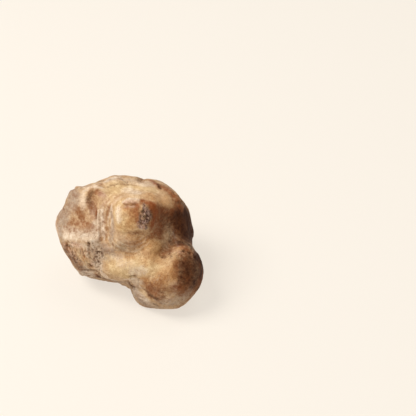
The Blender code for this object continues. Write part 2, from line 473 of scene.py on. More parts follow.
# %% [markdown]
# ### Sides, back and underside
#
# The sides out of the camera's sight are the same truffle, so they get the same kinds of marks: long
# creases between the lobes, a few pits, shallow dents from stones, and small lumps. Some of the lumps and
# dents lie just behind the edge of the face, where they finish its outline.

# %% Carve all round
# Name, width and depth in mm, and places as turn and rise in degrees.
carve("creases all round", crease, (
    ("back_high", 1.1, 0.4, (158, 58), (163, 44), (161, 30)),
    ("back_low", 0.9, 0.32, (168, 0), (172, -10), (170, -24)),
    ("back_left", 1.0, 0.34, (206, 42), (213, 33), (218, 18)),
    ("back_foot", 0.8, 0.34, (150, -22), (166, -28), (186, -27)),
    ("nape", 0.6, 0.28, (176, 66), (192, 60), (200, 48)),
    ("right_high", 0.8, 0.32, (96, 40), (104, 28), (102, 14)),
    ("right_foot", 0.6, 0.32, (74, -12), (86, -17), (99, -16), (112, -22)),
    ("left_high", 0.9, 0.34, (236, 50), (244, 36), (240, 24)),
    ("left_low", 0.6, 0.3, (266, -14), (274, -22), (290, -24), (302, -20)),
    ("front_low", 0.5, 0.28, (-38, -30), (-24, -34), (-8, -32)),
    ("heel_under", 0.5, 0.25, (48, -34), (60, -28), (72, -30)),
), all_round)

# Name, radius and height in mm, and places as turn and rise in degrees.
carve("swells all round", swell, (
    ("back_dent", 5.0, -1.1, (188, 30)),
    ("back_lump", 4.5, 0.8, (149, 26)),
    ("back_lump_low", 4.5, 0.7, (182, -4)),
    ("back_low_dent", 4.5, -0.9, (154, -12)),
    ("back_furrow", 3.0, -0.8, (163, 50), (165, 26), (170, 0)),
    ("right_dent", 4.5, -1.0, (118, 26)),
    ("right_lump", 4.0, 0.6, (96, -2)),
    ("right_back_lump", 3.5, 0.7, (124, -4)),
    ("left_dent", 4.5, -0.9, (262, -8)),
    ("left_lump", 4.0, 0.6, (248, 30)),
    ("left_furrow", 2.4, -0.6, (240, 44), (243, 16), (238, -8)),
    ("nape_lump", 3.5, 0.5, (204, 60)),
    ("crown_dent", 4.2, -1.0, (219, 43), (230, 37)),
    ("left_back_dent", 4.0, -0.8, (226, 8)),
    ("left_back_lump", 4.0, 0.6, (214, -14)),
    ("crown_slope", 3.6, -1.0, (214, 36), (220, 31), (229, 26)),
    ("crown_back", 3.6, -0.35, (190, 43), (178, 42), (157, 37), (150, 30)),
    ("top_corner", 2.2, 0.6, (238, 29)),
    ("left_side", 3.2, 0.4, (266, 8), (273, -3), (277, -11)),
    ("under_left", 4.0, -0.65, (-62, -58), (-48, -59), (-32, -58)),
    ("under_fold", 2.4, -1.0, (1, -50), (5, -52)),
    ("heel_side_lump", 3.0, 0.4, (71, -12), (70, -18)),
    ("heel_low_dent", 2.6, -0.4, (61, -26), (54, -28)),
), all_round)

ROUND_PITS = (
    (160, 20), (176, 34), (195, 26), (206, -6), (222, 30), (132, 4), (120, -8), (104, 32), (260, 22),
    (240, -14), (128, 24), (146, -8), (186, 46), (250, -4), (284, -14), (112, 40),
)
for spot in ROUND_PITS:
    crease((spot,), PIT_WIDTH, PIT_DEPTH, all_round)
print("pits all round:", len(ROUND_PITS))

# %% [markdown]
# ### Folds
#
# Strokes alone would leave the sides too smooth between them. So a rule adds folds on every side that turns
# away from the face: they lie where a broad cloud passes through zero, which makes long wandering lines,
# and a second cloud lets them fade in and out.

# %% Fold the sides and the back
AWAY_START, AWAY_SPAN = 0.30, 0.50
FOLD_BEND, BEND_SIZE = 0.25, 3.0
FADE_SIZE, FADE_GAIN, FADE_BASE = 0.6, 1.6, 0.2
# Size of the cloud in mm, its seed, width of the folds as a share of the cloud's swing, and depth in mm.
FOLDS = ((11.0, 41.0, 0.08, 0.38), (5.5, 43.0, 0.10, 0.22))

facing = normals @ np.array(out)
away = np.clip((AWAY_START - facing) / AWAY_SPAN, 0, 1)
fold_bend = FOLD_BEND * cloud(BEND_SIZE, 3, 45.0)
for size, seed, width, depth in FOLDS:
    line = np.exp(-(((cloud(size, 2, seed) + fold_bend) / width) ** 2))
    line *= away * np.clip(FADE_GAIN * cloud(FADE_SIZE * size, 2, seed + 20) + FADE_BASE, 0, 1)
    relief -= line * depth * MM
    soil += line * depth
print("points on the sides and the back:", int((away > 0.5).sum()))

# %% [markdown]
# ### Growth lines
#
# The knob pushed out through the older skin, which was left in fine lines round its foot. The lines follow
# a rule, so they aren't drawn one by one: on the face's drawing they are ovals round the knob, a little
# bent by a cloud. Soft masks keep them to three areas: full on the knob's left flank, fainter on its chin,
# and faintest on the crown.

# %% Draw the growth lines
KNOB_MIDDLE = (1.0, 5.5)
KNOB_STRETCH = 0.82
LINE_SPACING = 1.5
LINE_BEND = 0.6
LINE_HEIGHT = 0.07 * MM
MASK_REACH = 1.8
# Name, radius in mm, strength, and places on the face in mm.
LINE_AREAS = (
    ("flank", 3.2, 1.0, (-8.8, 9.0), (-9.8, 4.0), (-9.6, -0.5)),
    ("crown", 2.6, 0.45, (-3.5, 15.5), (-7.0, 13.0)),
    ("chin", 3.2, 0.65, (-6.5, -3.0), (-3.0, -4.2), (1.0, -4.8), (5.0, -2.5)),
)


def face_coordinates():
    """How far across and up on the face's drawing each point of the skin is seen, in mm."""
    sight = places - np.array(eye)
    scale = EYE_OUT / -(sight @ np.array(out))
    return (sight @ np.array(across) * scale + EYE_ACROSS) / MM, (sight @ np.array(up) * scale + EYE_UP) / MM


def soft_mask(spots, radius, finder=on_face):
    """Full in the middle of a stroke and fading out past its radius: which points, and how much."""
    near, gap, _ = stroke(spots, MASK_REACH * radius * MM, finder)
    return near, np.exp(-((gap / (radius * MM)) ** 3))


def waves(distance):
    """Low and high lines, -1 to 1, one line spacing apart."""
    return np.sin(distance * 2 * math.pi / LINE_SPACING)


face_x, face_y = face_coordinates()
line_bend = LINE_BEND * cloud(BEND_SIZE, 3, 13.0)
growth = np.zeros(count)
for _, radius, amount, *spots in LINE_AREAS:
    near, share = soft_mask(spots, radius)
    growth[near] = np.maximum(growth[near], amount * share)
ring = np.hypot(face_x - KNOB_MIDDLE[0], (face_y - KNOB_MIDDLE[1]) * KNOB_STRETCH) + line_bend
growth *= waves(ring)
print("growth lines on the face:", int((growth != 0).sum()), "points")

# %% [markdown]
# The other lobes have grown in the same way. There the lines are plain circles round a place on each lobe.

# %% Draw the growth lines of the other lobes
# Name, radius in mm, strength, and in degrees of turn and rise the circles' middle and the area's places.
ROUND_GROWTH = (
    ("back", 4.0, 0.8, (150, 24), (172, 32), (176, 14), (166, -4)),
    ("left", 3.6, 0.8, (264, 16), (246, 34), (238, 14), (244, -6)),
    ("right", 3.6, 0.7, (112, 4), (98, 22), (92, 4), (98, -12)),
    ("low_back", 3.0, 0.7, (196, -16), (178, -2), (192, 8), (210, 4)),
)

for _, radius, amount, lobe, *spots in ROUND_GROWTH:
    near, share = soft_mask(spots, radius, all_round)
    from_lobe = np.linalg.norm(places[near] - np.array(all_round(*lobe)), axis=1) / MM + line_bend[near]
    growth[near] += amount * share * waves(from_lobe)
relief += growth * LINE_HEIGHT
print("growth lines everywhere:", int((growth != 0).sum()), "points")

# %% [markdown]
# ### Streaks
#
# Where the skin has dried and shrunk it splits into short streaks that all run one way. A cloud that is
# squeezed across that way and drawn out along it gives them. They are kept as a number, because the paint
# needs them too.

# %% Draw the streaks
# Name, radius in mm, lean to the right in radians, strength, and places on the face in mm.
STREAKS = (
    ("low_left", 3.4, -0.55, 0.8, (-24.0, -4.5), (-21.0, -8.0), (-18.5, -11.0)),
    ("low_middle", 2.4, -0.45, 0.9, (-18.0, -4.0), (-17.0, -9.0)),
    ("scar", 2.6, -0.1, 0.7, (-24.5, 3.0), (-18.0, 2.5), (-13.5, 2.0)),
    ("scar_high", 2.6, -0.3, 0.5, (-20.5, 9.0), (-17.5, 6.5)),
    ("flank", 2.0, -0.05, 0.4, (-10.8, 8.0), (-10.0, 2.0), (-9.0, -3.0)),
    ("wrinkled", 2.4, -0.2, 0.5, (-15.0, -4.0), (-13.5, -9.0)),
    ("fold", 1.6, -1.1, 0.7, (1.5, -20.5), (5.0, -25.0), (9.5, -27.0)),
    ("ledge", 1.6, 1.4, 0.7, (-19.5, -14.5), (-12.0, -16.5)),
    ("heel_foot", 2.6, 1.5, 0.7, (11.0, -24.0), (18.0, -24.0)),
    ("heel", 3.0, 0.5, 0.6, (8.0, -19.5), (14.0, -18.0)),
    ("crown", 2.0, 1.5, 0.35, (-6.0, 22.0), (2.0, 21.5)),
)
STREAK_WIDTH, STREAK_LENGTH = 0.62, 2.6
STREAK_HEIGHT = 0.12 * MM
STREAK_OCTAVES = 3

streaks = np.zeros(count)
for _, radius, lean, amount, *spots in STREAKS:
    near, share = soft_mask(spots, radius)
    side = (face_x[near] * math.cos(lean) - face_y[near] * math.sin(lean)) / STREAK_WIDTH
    along = (face_x[near] * math.sin(lean) + face_y[near] * math.cos(lean)) / STREAK_LENGTH
    spread_out = [Vector((x, y, lean)) for x, y in zip(side, along)]
    pattern = [noise.fractal(place, FALL, LACUNARITY, STREAK_OCTAVES) for place in spread_out]
    streaks[near] += amount * share * np.array(pattern)
relief += streaks * STREAK_HEIGHT
print("streaks, strongest:", round(float(np.abs(streaks).max()), 2))

# %% [markdown]
# ### Rough regions
#
# Between the strokes the skin is never quite smooth, but it isn't rough all over either. The scar, the
# cracked corner, the ledge and most of all the wart are rough, so they are marked with soft strokes. A
# broad cloud gives the rest a low roughness that comes and goes. The material reads this number too.

# %% Mark the rough regions
# Name, radius in mm, how rough, and places on the face in mm.
ROUGH = (
    ("scar", 6.0, 0.45, (-22.7, 12.4), (-20.3, 5.6), (-17.9, 0.1)),
    ("wrinkled", 2.6, 1.0, (-15.2, -3.8), (-14.4, -8.2), (-14.8, -12.1)),
    ("wrinkled_right", 2.6, 1.0, (-12.0, -5.0), (-11.6, -8.6), (-12.4, -12.5)),
    ("low_left", 3.2, 0.9, (-23.4, -5.4), (-20.3, -10.1)),
    ("ledge", 2.0, 0.6, (-19.5, -14.5), (-11.2, -16.5)),
    ("wart", 2.2, 2.4, (6.2, 10.8), (6.2, 4.9)),
    ("fold", 2.0, 0.6, (0.6, -18.0), (3.4, -24.0), (8.9, -27.1)),
    ("neck", 1.8, 0.8, (16.0, -7.8), (22.7, -6.2)),
    ("shoulder", 2.0, 0.5, (10.1, 19.8), (16.8, 16.7)),
    ("heel_low", 3.0, 0.5, (8.1, -21.2), (14.0, -22.8), (21.9, -20.4)),
)
ROUGH_SIZE, ROUGH_GAIN, ROUGH_BASE = 9.0, 0.6, 0.15
ROUGH_LEAST, ROUGH_MOST = 0.1, 0.6

rough = np.clip(cloud(ROUGH_SIZE, 2, 5.0) * ROUGH_GAIN + ROUGH_BASE, ROUGH_LEAST, ROUGH_MOST)
for _, radius, amount, *spots in ROUGH:
    near, share = soft_mask(spots, radius)
    rough[near] = np.maximum(rough[near], amount * share)
print("rough regions:", len(ROUGH))

# %% [markdown]
# ### Grain
#
# Broad low lumps go all over the skin. Wrinkles and a finer grit go where it is rough: a cloud's absolute
# value, turned upside down, has the sharp valleys of a wrinkle. The roughest places crack, in thin lines
# where another cloud passes through zero.

# %% Add the grain
LUMP_SIZE, LUMP_HEIGHT = 7.0, 0.35
WRINKLE_SIZE, WRINKLE_DEPTH = 2.6, 0.42
GRIT_SIZE, GRIT_HEIGHT, GRIT_LEAST = 0.9, 0.16, 0.02
CRACK_SIZE, CRACK_WIDTH, CRACK_DEPTH = 2.2, 0.09, 0.6
CRACK_START, CRACK_MOST = 0.45, 0.5

wrinkle = -np.abs(cloud(WRINKLE_SIZE, 3, 3.0))
fine = cloud(GRIT_SIZE, 3, 7.0)
relief += cloud(LUMP_SIZE, 3, 1.0) * LUMP_HEIGHT * MM
relief += rough * (wrinkle * WRINKLE_DEPTH + fine * GRIT_HEIGHT) * MM + fine * GRIT_LEAST * MM
crack = np.exp(-((cloud(CRACK_SIZE, 2, 9.0) / CRACK_WIDTH) ** 2))
crack *= np.clip(rough - CRACK_START, 0, CRACK_MOST)
relief -= crack * CRACK_DEPTH * MM
soil += crack
print("cracked points:", int((crack > 0.1).sum()))

# %% [markdown]
# ### Moving the skin
#
# Now the relief is complete, and each point moves along its normal by its own number. Where the truffle
# touches the floor nothing moves, and no point goes below the floor.

# %% Move the skin
TOUCH_HEIGHT, LIFT_SPAN = 0.3 * MM, 1.2 * MM

lift = np.clip((places[:, 2] - TOUCH_HEIGHT) / LIFT_SPAN, 0, 1)
places += normals * (relief * lift)[:, None]
places[:, 2] = np.maximum(places[:, 2], 0)
skin.data.vertices.foreach_set("co", places.ravel())
skin.data.update()
print("relief, mm:", round(relief.min() / MM, 2), "to", round(relief.max() / MM, 2))

# %% [markdown]
# ## Painting
#
# Most colours of a truffle are stains. On the tan skin lie straw-yellow domes, chalky scars, grey wrinkles,
# and browns from light to nearly black where soil and damp have worked in. Some strokes are painted light
# instead: painted shade in the hollows, under the chin and the lip and along the lower rim, and painted
# highlights on the knob and the belly. Each stain or painted light is a pigment here. A pigment is stored
# on the mesh as one number for each point, an attribute, which says how thickly it was brushed on. The node
# material gives the pigments their colours later, and breaks up their edges more finely than the mesh
# could. A second layer never takes paint away: it covers a share of what was still bare.

# %% A brush for the pigments
pigments = {}


def cover(layer, more):
    """A layer of pigment with more laid over it."""
    return 1 - (1 - layer) * (1 - more)


def brush(pigment, strokes, finder=on_face):
    """Brushes a pigment on. A stroke has a name, a radius in mm, a strength from 0 to 1, and its places."""
    layer = pigments.setdefault(pigment, np.zeros(count))
    for _, radius, strength, *spots in strokes:
        near, share = soft_mask(spots, radius, finder)
        layer[near] = cover(layer[near], strength * share)
    print(pigment, "strokes:", len(strokes))


# %% [markdown]
# ### Straw and ochre
#
# Where the skin is whole and stretched over a dome, it is yellow: pale straw on the tops, and deeper ochre
# on the flanks and in the valley between the knob and the belly. On the knob's left side the straw is a
# painted highlight, and in the valley under the knob it is painted light where the knob shades it.

# %% Brush on the straw and the ochre
brush("straw", (
    ("yellow_top", 3.4, 0.85, (-6.1, 18.7), (-0.6, 19.1)),
    ("top_right", 3.0, 0.55, (2.6, 19.5), (8.1, 18.3)),
    ("yellow_blob", 1.6, 0.9, (-8.0, 14.7)),
    # Painted highlight on the knob's left side.
    ("knob_light", 2.4, 0.75, (-3.3, 12.7), (-4.7, 10.4), (-4.7, 7.2), (-3.3, 4.9)),
    ("knob_middle", 2.2, 0.5, (-2.1, 9.2), (-1.7, 6.0)),
    ("knob_low", 2.0, 0.5, (-2.9, 3.3), (0.2, 3.7)),
    ("belly_left", 3.4, 0.7, (-6.9, -10.1), (-0.6, -11.7)),
    ("belly_middle", 3.6, 0.8, (2.2, -10.9), (8.9, -11.7)),
    ("belly_low", 2.6, 0.8, (-5.7, -14.5), (-0.6, -15.7)),
    ("heel_top", 2.6, 0.35, (8.1, -12.5), (12.1, -11.7), (15.2, -10.1)),
    ("heel_middle", 2.0, 0.4, (8.1, -14.9), (12.9, -14.5)),
    ("neck_top", 1.4, 0.6, (18.4, -7.0), (20.0, -9.4)),
    ("low_left", 1.3, 0.6, (-18.7, -10.1), (-17.5, -11.7)),
    ("shoulder_bump", 2.0, 0.3, (13.7, 14.7), (16.0, 13.5)),
    ("shoulder_low", 1.6, 0.3, (8.9, 14.7), (11.3, 14.3)),
    ("belly_low_right", 3.0, 0.85, (2.6, -14.1), (5.8, -13.3)),
    ("low_left", 1.6, 0.4, (-18.7, -8.6), (-17.1, -10.9)),
    ("knob_low_wide", 2.4, 0.5, (-3.7, 4.1), (0.2, 3.3)),
    # Painted light in the valley under the knob, which lies in the knob's shade.
    ("valley_bright", 2.2, 0.6, (6.6, -3.8), (10.5, -4.6)),
    ("chin", 2.4, 0.4, (-6.9, -1.5), (-2.9, -4.2)),
    # Painted light in the valley under the knob, which lies in the knob's shade.
    ("valley_left", 2.0, 0.5, (8.5, -1.9), (11.3, -2.6)),
    ("neck_ridge", 1.3, 0.4, (18.4, -5.8), (20.4, -5.0), (21.9, -5.8)),
))
brush("ochre", (
    ("knob_right", 2.6, 0.75, (0.2, 10.8), (1.4, 8.0), (0.6, 4.9)),
    ("knob_top", 1.3, 0.4, (-2.9, 10.8), (-0.6, 11.2)),
    ("shoulder", 3.0, 0.5, (8.1, 15.5), (12.1, 13.5)),
    ("flank", 1.2, 0.6, (-9.6, 3.3), (-9.2, -1.5)),
    ("valley", 3.0, 0.8, (1.0, -1.5), (7.3, -3.0), (11.3, -5.4)),
    ("throat", 2.4, 0.5, (6.6, -6.2), (10.5, -8.6)),
    ("belly_top", 1.8, 0.5, (-4.5, -7.4), (2.2, -7.8)),
    ("low_left", 1.6, 0.7, (-17.9, -8.6), (-19.5, -10.9)),
    ("heel_low", 2.8, 0.85, (5.8, -17.6), (8.9, -18.8), (12.9, -17.2), (16.0, -15.7)),
    ("heel_edge", 1.3, 0.7, (18.4, -10.1), (17.2, -13.3), (18.0, -17.2)),
    ("shoulder_bump", 2.0, 0.6, (15.2, 14.3)),
    ("belly_low", 1.4, 0.2, (1.0, -14.9), (5.8, -14.1)),
    ("left_yellow", 1.0, 0.5, (-18.7, -10.5), (-17.9, -8.6)),
    ("flank_yellow", 0.8, 0.7, (-11.6, 2.5), (-11.2, -0.7)),
    ("knob_low", 2.4, 0.4, (-2.9, 3.3), (0.2, 3.7)),
    ("heel_shade", 2.6, 0.45, (12.9, -14.9), (16.0, -14.1)),
    ("belly_right", 2.4, 0.4, (6.6, -10.1), (9.7, -8.6)),
    ("shoulder_wide", 3.2, 0.7, (8.9, 15.9), (12.1, 14.3), (16.0, 12.7)),
    ("neck_top", 1.6, 0.6, (17.2, -4.6), (19.6, -5.8)),
    ("heel_margin", 1.4, 0.4, (19.2, -7.8), (18.0, -10.1), (17.2, -14.1)),
    ("valley_left", 1.8, 0.4, (9.3, -1.5), (11.3, -2.2)),
))

# %% [markdown]
# ### Cream and rose
#
# Cream is the pale cork that grows where the skin was scraped or split: the band at the foot of the flat
# scar, the ridge beside it, the lips of the folds, and the worn edges. On the knob and the belly a few cream
# strokes are a painted highlight, and on the ledge, the flap and the fold, which turn down into shade, the
# cream is pale skin brightened with painted light. A little rose shows where the skin is thin.

# %% Brush on the cream and the rose
brush("cream", (
    ("scar_band", 2.3, 0.95, (-25.0, 0.9), (-20.3, 0.5), (-14.0, 0.1)),
    ("scar_band_top", 1.5, 0.5, (-25.8, 3.3), (-22.7, 2.5)),
    ("scar_right", 1.4, 0.8, (-14.0, 4.9), (-13.6, -1.5)),
    ("scar_middle", 1.6, 0.6, (-18.7, 16.7), (-18.3, 12.0)),
    ("dimple_rim", 0.9, 0.9, (-17.9, 18.3), (-14.8, 19.7), (-11.2, 19.3)),
    ("ridge", 0.6, 0.85, (-12.4, 10.0), (-12.2, 5.6), (-12.4, -1.5)),
    ("beside_ridge", 0.9, 0.5, (-10.8, 11.6), (-10.8, 6.4)),
    ("flank_pale", 0.8, 0.6, (-6.9, 12.0), (-6.9, 6.4), (-6.5, 0.1)),
    ("crown_left", 1.6, 0.8, (-10.0, 22.2), (-7.7, 23.0), (-4.5, 23.2)),
    ("crown_right", 2.2, 0.6, (5.0, 20.6), (8.9, 20.6)),
    ("top_pale", 2.4, 0.7, (-0.6, 18.3), (2.6, 17.5)),
    ("top_edge", 0.9, 0.5, (-17.9, 20.2), (-13.2, 21.4)),
    ("lens_top", 0.6, 0.85, (-2.5, 13.4), (-0.9, 14.6), (1.4, 14.8), (3.8, 14.1)),
    # Painted highlight on the knob.
    ("knob_shine", 1.2, 0.55, (-4.5, 10.8), (-4.9, 8.4), (-4.1, 6.4)),
    ("scar_foot", 1.2, 0.7, (-22.7, -3.4), (-17.9, -3.8)),
    ("low_fleck", 0.8, 0.5, (-16.7, -4.2), (-16.3, -7.8)),
    ("lip", 0.6, 0.8, (-11.4, -13.3), (-10.0, -15.9), (-6.9, -17.2)),
    # Painted highlight on the belly.
    ("belly_shine", 2.0, 0.3, (-3.7, -10.9), (0.2, -11.3)),
    # Pale skin brightened with painted light on the flap, which faces into shade.
    ("flap", 0.6, 0.7, (0.2, -17.2), (1.8, -16.8), (3.0, -17.6)),
    ("flap_strip", 0.7, 0.5, (3.4, -19.6), (5.4, -20.6)),
    # Pale skin brightened with painted light on the fold, which faces down.
    ("fold_strip", 1.3, 0.85, (2.2, -20.8), (4.2, -23.6), (7.3, -25.9)),
    ("fold_fleck", 0.6, 0.8, (10.5, -27.5), (11.7, -27.9)),
    ("left_light", 1.2, 0.4, (-19.5, 14.7), (-17.9, 12.7)),
    ("streak", 0.5, 0.5, (17.4, 1.3), (18.0, -0.7)),
    ("crown_middle", 1.8, 0.25, (-2.9, 21.8), (2.6, 21.0)),
    ("flank_stripe", 0.7, 0.6, (-11.2, 9.6), (-11.2, 4.9), (-10.8, 0.9)),
    # Pale skin brightened with painted light on the ledge, which faces down.
    ("ledge", 1.6, 0.9, (-19.5, -14.7), (-16.3, -15.3), (-13.6, -15.7)),
    ("crown_mid", 2.2, 0.2, (-4.5, 22.2), (1.0, 21.8), (5.8, 21.0)),
    # Pale skin brightened with painted light on the ledge, which faces down.
    ("ledge_low", 1.0, 0.7, (-20.3, -14.1), (-17.1, -15.7), (-14.0, -16.1)),
    ("belly_low", 2.2, 0.65, (1.8, -14.5), (5.0, -13.7)),
    # Pale skin brightened with painted light on the flap and the fold, which face into shade.
    ("flap_inside", 1.6, 0.85, (1.0, -17.6), (2.6, -18.8)),
    ("fold_inside", 1.5, 0.8, (1.8, -21.2), (3.4, -23.6), (5.4, -25.1)),
    # Pale skin brightened with painted light on the ledge, which faces down.
    ("ledge_high", 0.9, 0.5, (-19.5, -13.9), (-16.3, -14.3)),
    ("ledge_long", 1.0, 0.5, (-18.7, -15.7), (-14.8, -16.5)),
    ("lens", 0.8, 0.55, (-0.9, 13.7), (1.8, 13.8)),
    ("shoulder_light", 2.2, 0.1, (12.1, 15.1), (15.2, 13.9)),
    ("top_left_rim", 1.1, 0.8, (-17.9, 19.8), (-14.8, 20.2), (-12.0, 21.4)),
    ("wart_fleck_1", 0.35, 0.6, (7.9, 9.2), (8.1, 8.0)),
    ("wart_fleck_2", 0.35, 0.6, (4.6, 6.6), (5.2, 5.8)),
    ("wart_fleck_3", 0.5, 0.7, (4.2, 3.3), (5.4, 2.9), (6.6, 3.5)),
    # Pale skin brightened with painted light on the flap, which faces into shade.
    ("flap_long", 1.4, 0.8, (2.6, -17.6), (4.6, -18.2)),
    ("low_rim_right", 1.1, 0.75, (-10.0, -17.6), (-6.9, -18.4)),
    ("wrinkled_top", 1.2, 0.5, (-15.2, -3.0), (-13.2, -2.6)),
    ("wrinkled_wash", 2.2, 0.3, (-17.9, -6.2), (-14.8, -9.4), (-12.8, -12.5)),
    ("belly_top_left", 1.6, 0.5, (-6.1, -7.8), (-3.7, -8.2)),
    ("crown_gray", 1.6, 0.5, (-9.2, 22.2), (-6.1, 22.6)),
    ("scar_band_bright", 1.7, 0.7, (-24.6, 0.1), (-20.7, 0.1)),
    ("scar_band_right", 1.2, 0.6, (-14.4, 3.3), (-13.6, -0.7)),
    ("ridge_bright", 0.5, 0.6, (-12.2, 7.2), (-12.4, -0.7)),
    ("left_middle", 2.0, 0.35, (-25.8, 9.6), (-25.0, 6.4)),
    ("lip_right", 1.2, 0.85, (-10.0, -14.9), (-8.4, -16.5), (-6.1, -17.6)),
    # Pale skin brightened with painted light on the ledge, which faces down.
    ("ledge_wash", 1.6, 0.5, (-18.7, -14.5), (-15.5, -15.3), (-13.2, -15.7)),
    ("wrinkled_light", 2.4, 0.6, (-14.8, -5.4), (-12.4, -7.8), (-12.4, -10.9)),
    ("striae", 0.8, 0.5, (-10.8, 8.0), (-10.4, 4.1), (-10.0, 0.1)),
    ("crown_far", 1.4, 0.6, (-8.4, 23.0), (-5.3, 23.2)),
    # Pale skin brightened with painted light on the fold and the ledge, which face down.
    ("fold_bright", 1.4, 0.8, (2.6, -21.6), (4.2, -23.6), (6.6, -25.1)),
    ("ledge_bright", 1.4, 0.7, (-17.9, -14.1), (-14.8, -15.1)),
    ("scar_band_wide", 2.6, 0.4, (-24.2, 1.3), (-17.9, 0.5), (-13.6, 1.3)),
    ("fold_right", 1.0, 0.4, (6.6, -25.9), (8.9, -26.7)),
    ("ridge_line", 0.6, 0.85, (-12.6, 8.8), (-12.5, 3.3), (-12.7, -1.5)),
    ("flank_line_low", 0.6, 0.7, (-10.4, 6.4), (-10.3, 2.5), (-10.1, -1.1)),
    # Pale skin brightened with painted light on the flap, which faces into shade.
    ("flap_line", 0.8, 0.95, (-1.7, -17.2), (0.2, -16.8), (2.6, -16.8)),
    # Painted highlight on the knob.
    ("knob_glow", 1.5, 0.5, (-4.3, 10.8), (-4.3, 6.4)),
    ("lens_rim", 0.5, 0.5, (-1.7, 11.8), (0.6, 11.6), (3.0, 12.0)),
    # Pale skin brightened with painted light on the ledge, which faces down.
    ("ledge_glow", 1.6, 0.7, (-18.7, -14.5), (-15.5, -15.3), (-13.6, -15.9)),
    ("left_rim_pale", 1.3, 0.5, (-23.0, 12.0), (-22.3, 13.1)),
))
brush("rose", (
    ("left_edge", 1.2, 0.7, (-28.2, 5.6), (-27.4, 1.7)),
    ("scar_foot", 1.3, 0.6, (-22.7, -3.0), (-19.5, -3.8)),
    ("flank", 1.0, 0.4, (-10.0, 12.7), (-8.4, 14.3)),
    ("lens", 0.9, 0.75, (-1.3, 13.5), (2.6, 13.4)),
    ("lens_low", 0.6, 0.5, (-0.9, 11.6), (3.0, 11.7)),
    ("wrinkled", 0.9, 0.7, (-14.8, -10.9)),
    ("fold", 1.2, 0.5, (2.6, -22.0), (4.2, -24.0)),
    ("flap", 0.9, 0.4, (1.4, -18.4), (2.6, -19.2)),
    ("heel_foot", 2.0, 0.4, (15.2, -25.1)),
    ("dimple", 1.2, 0.6, (-14.8, 12.7), (-14.4, 9.6), (-14.0, 7.2)),
    ("low_left", 1.8, 0.5, (-22.7, -6.2), (-21.1, -9.4)),
    ("valley", 1.2, 0.4, (-10.4, -4.2), (-7.7, -5.4)),
    ("low_left_edge", 1.6, 0.6, (-25.0, -3.8), (-23.0, -7.8)),
    ("wart_foot", 1.0, 0.8, (4.2, 4.1), (6.2, 3.7)),
    ("wart_side", 0.8, 0.6, (4.2, 8.0), (4.6, 5.6)),
    ("dimple_right", 1.1, 0.8, (-11.2, 16.5), (-10.0, 15.9)),
    ("dimple_inside", 1.2, 0.5, (-14.8, 14.3), (-14.4, 12.0)),
    ("neck_top", 1.4, 0.35, (17.2, -5.4), (19.6, -6.6)),
    ("low_left_rim", 1.4, 0.6, (-25.8, -3.8), (-24.2, -6.2), (-21.9, -9.4)),
    ("dimple_foot", 1.3, 0.5, (-15.2, 12.7), (-14.4, 10.4)),
    ("wart_low", 1.2, 0.5, (4.6, 5.6), (6.6, 4.9)),
    ("heel_patch", 1.8, 0.5, (8.1, -20.4), (10.5, -22.0)),
    ("heel_low", 2.4, 0.5, (18.4, -20.4), (21.5, -21.6), (23.9, -20.0)),
    ("neck_spots", 1.1, 0.35, (20.8, -6.2), (22.3, -7.0)),
))
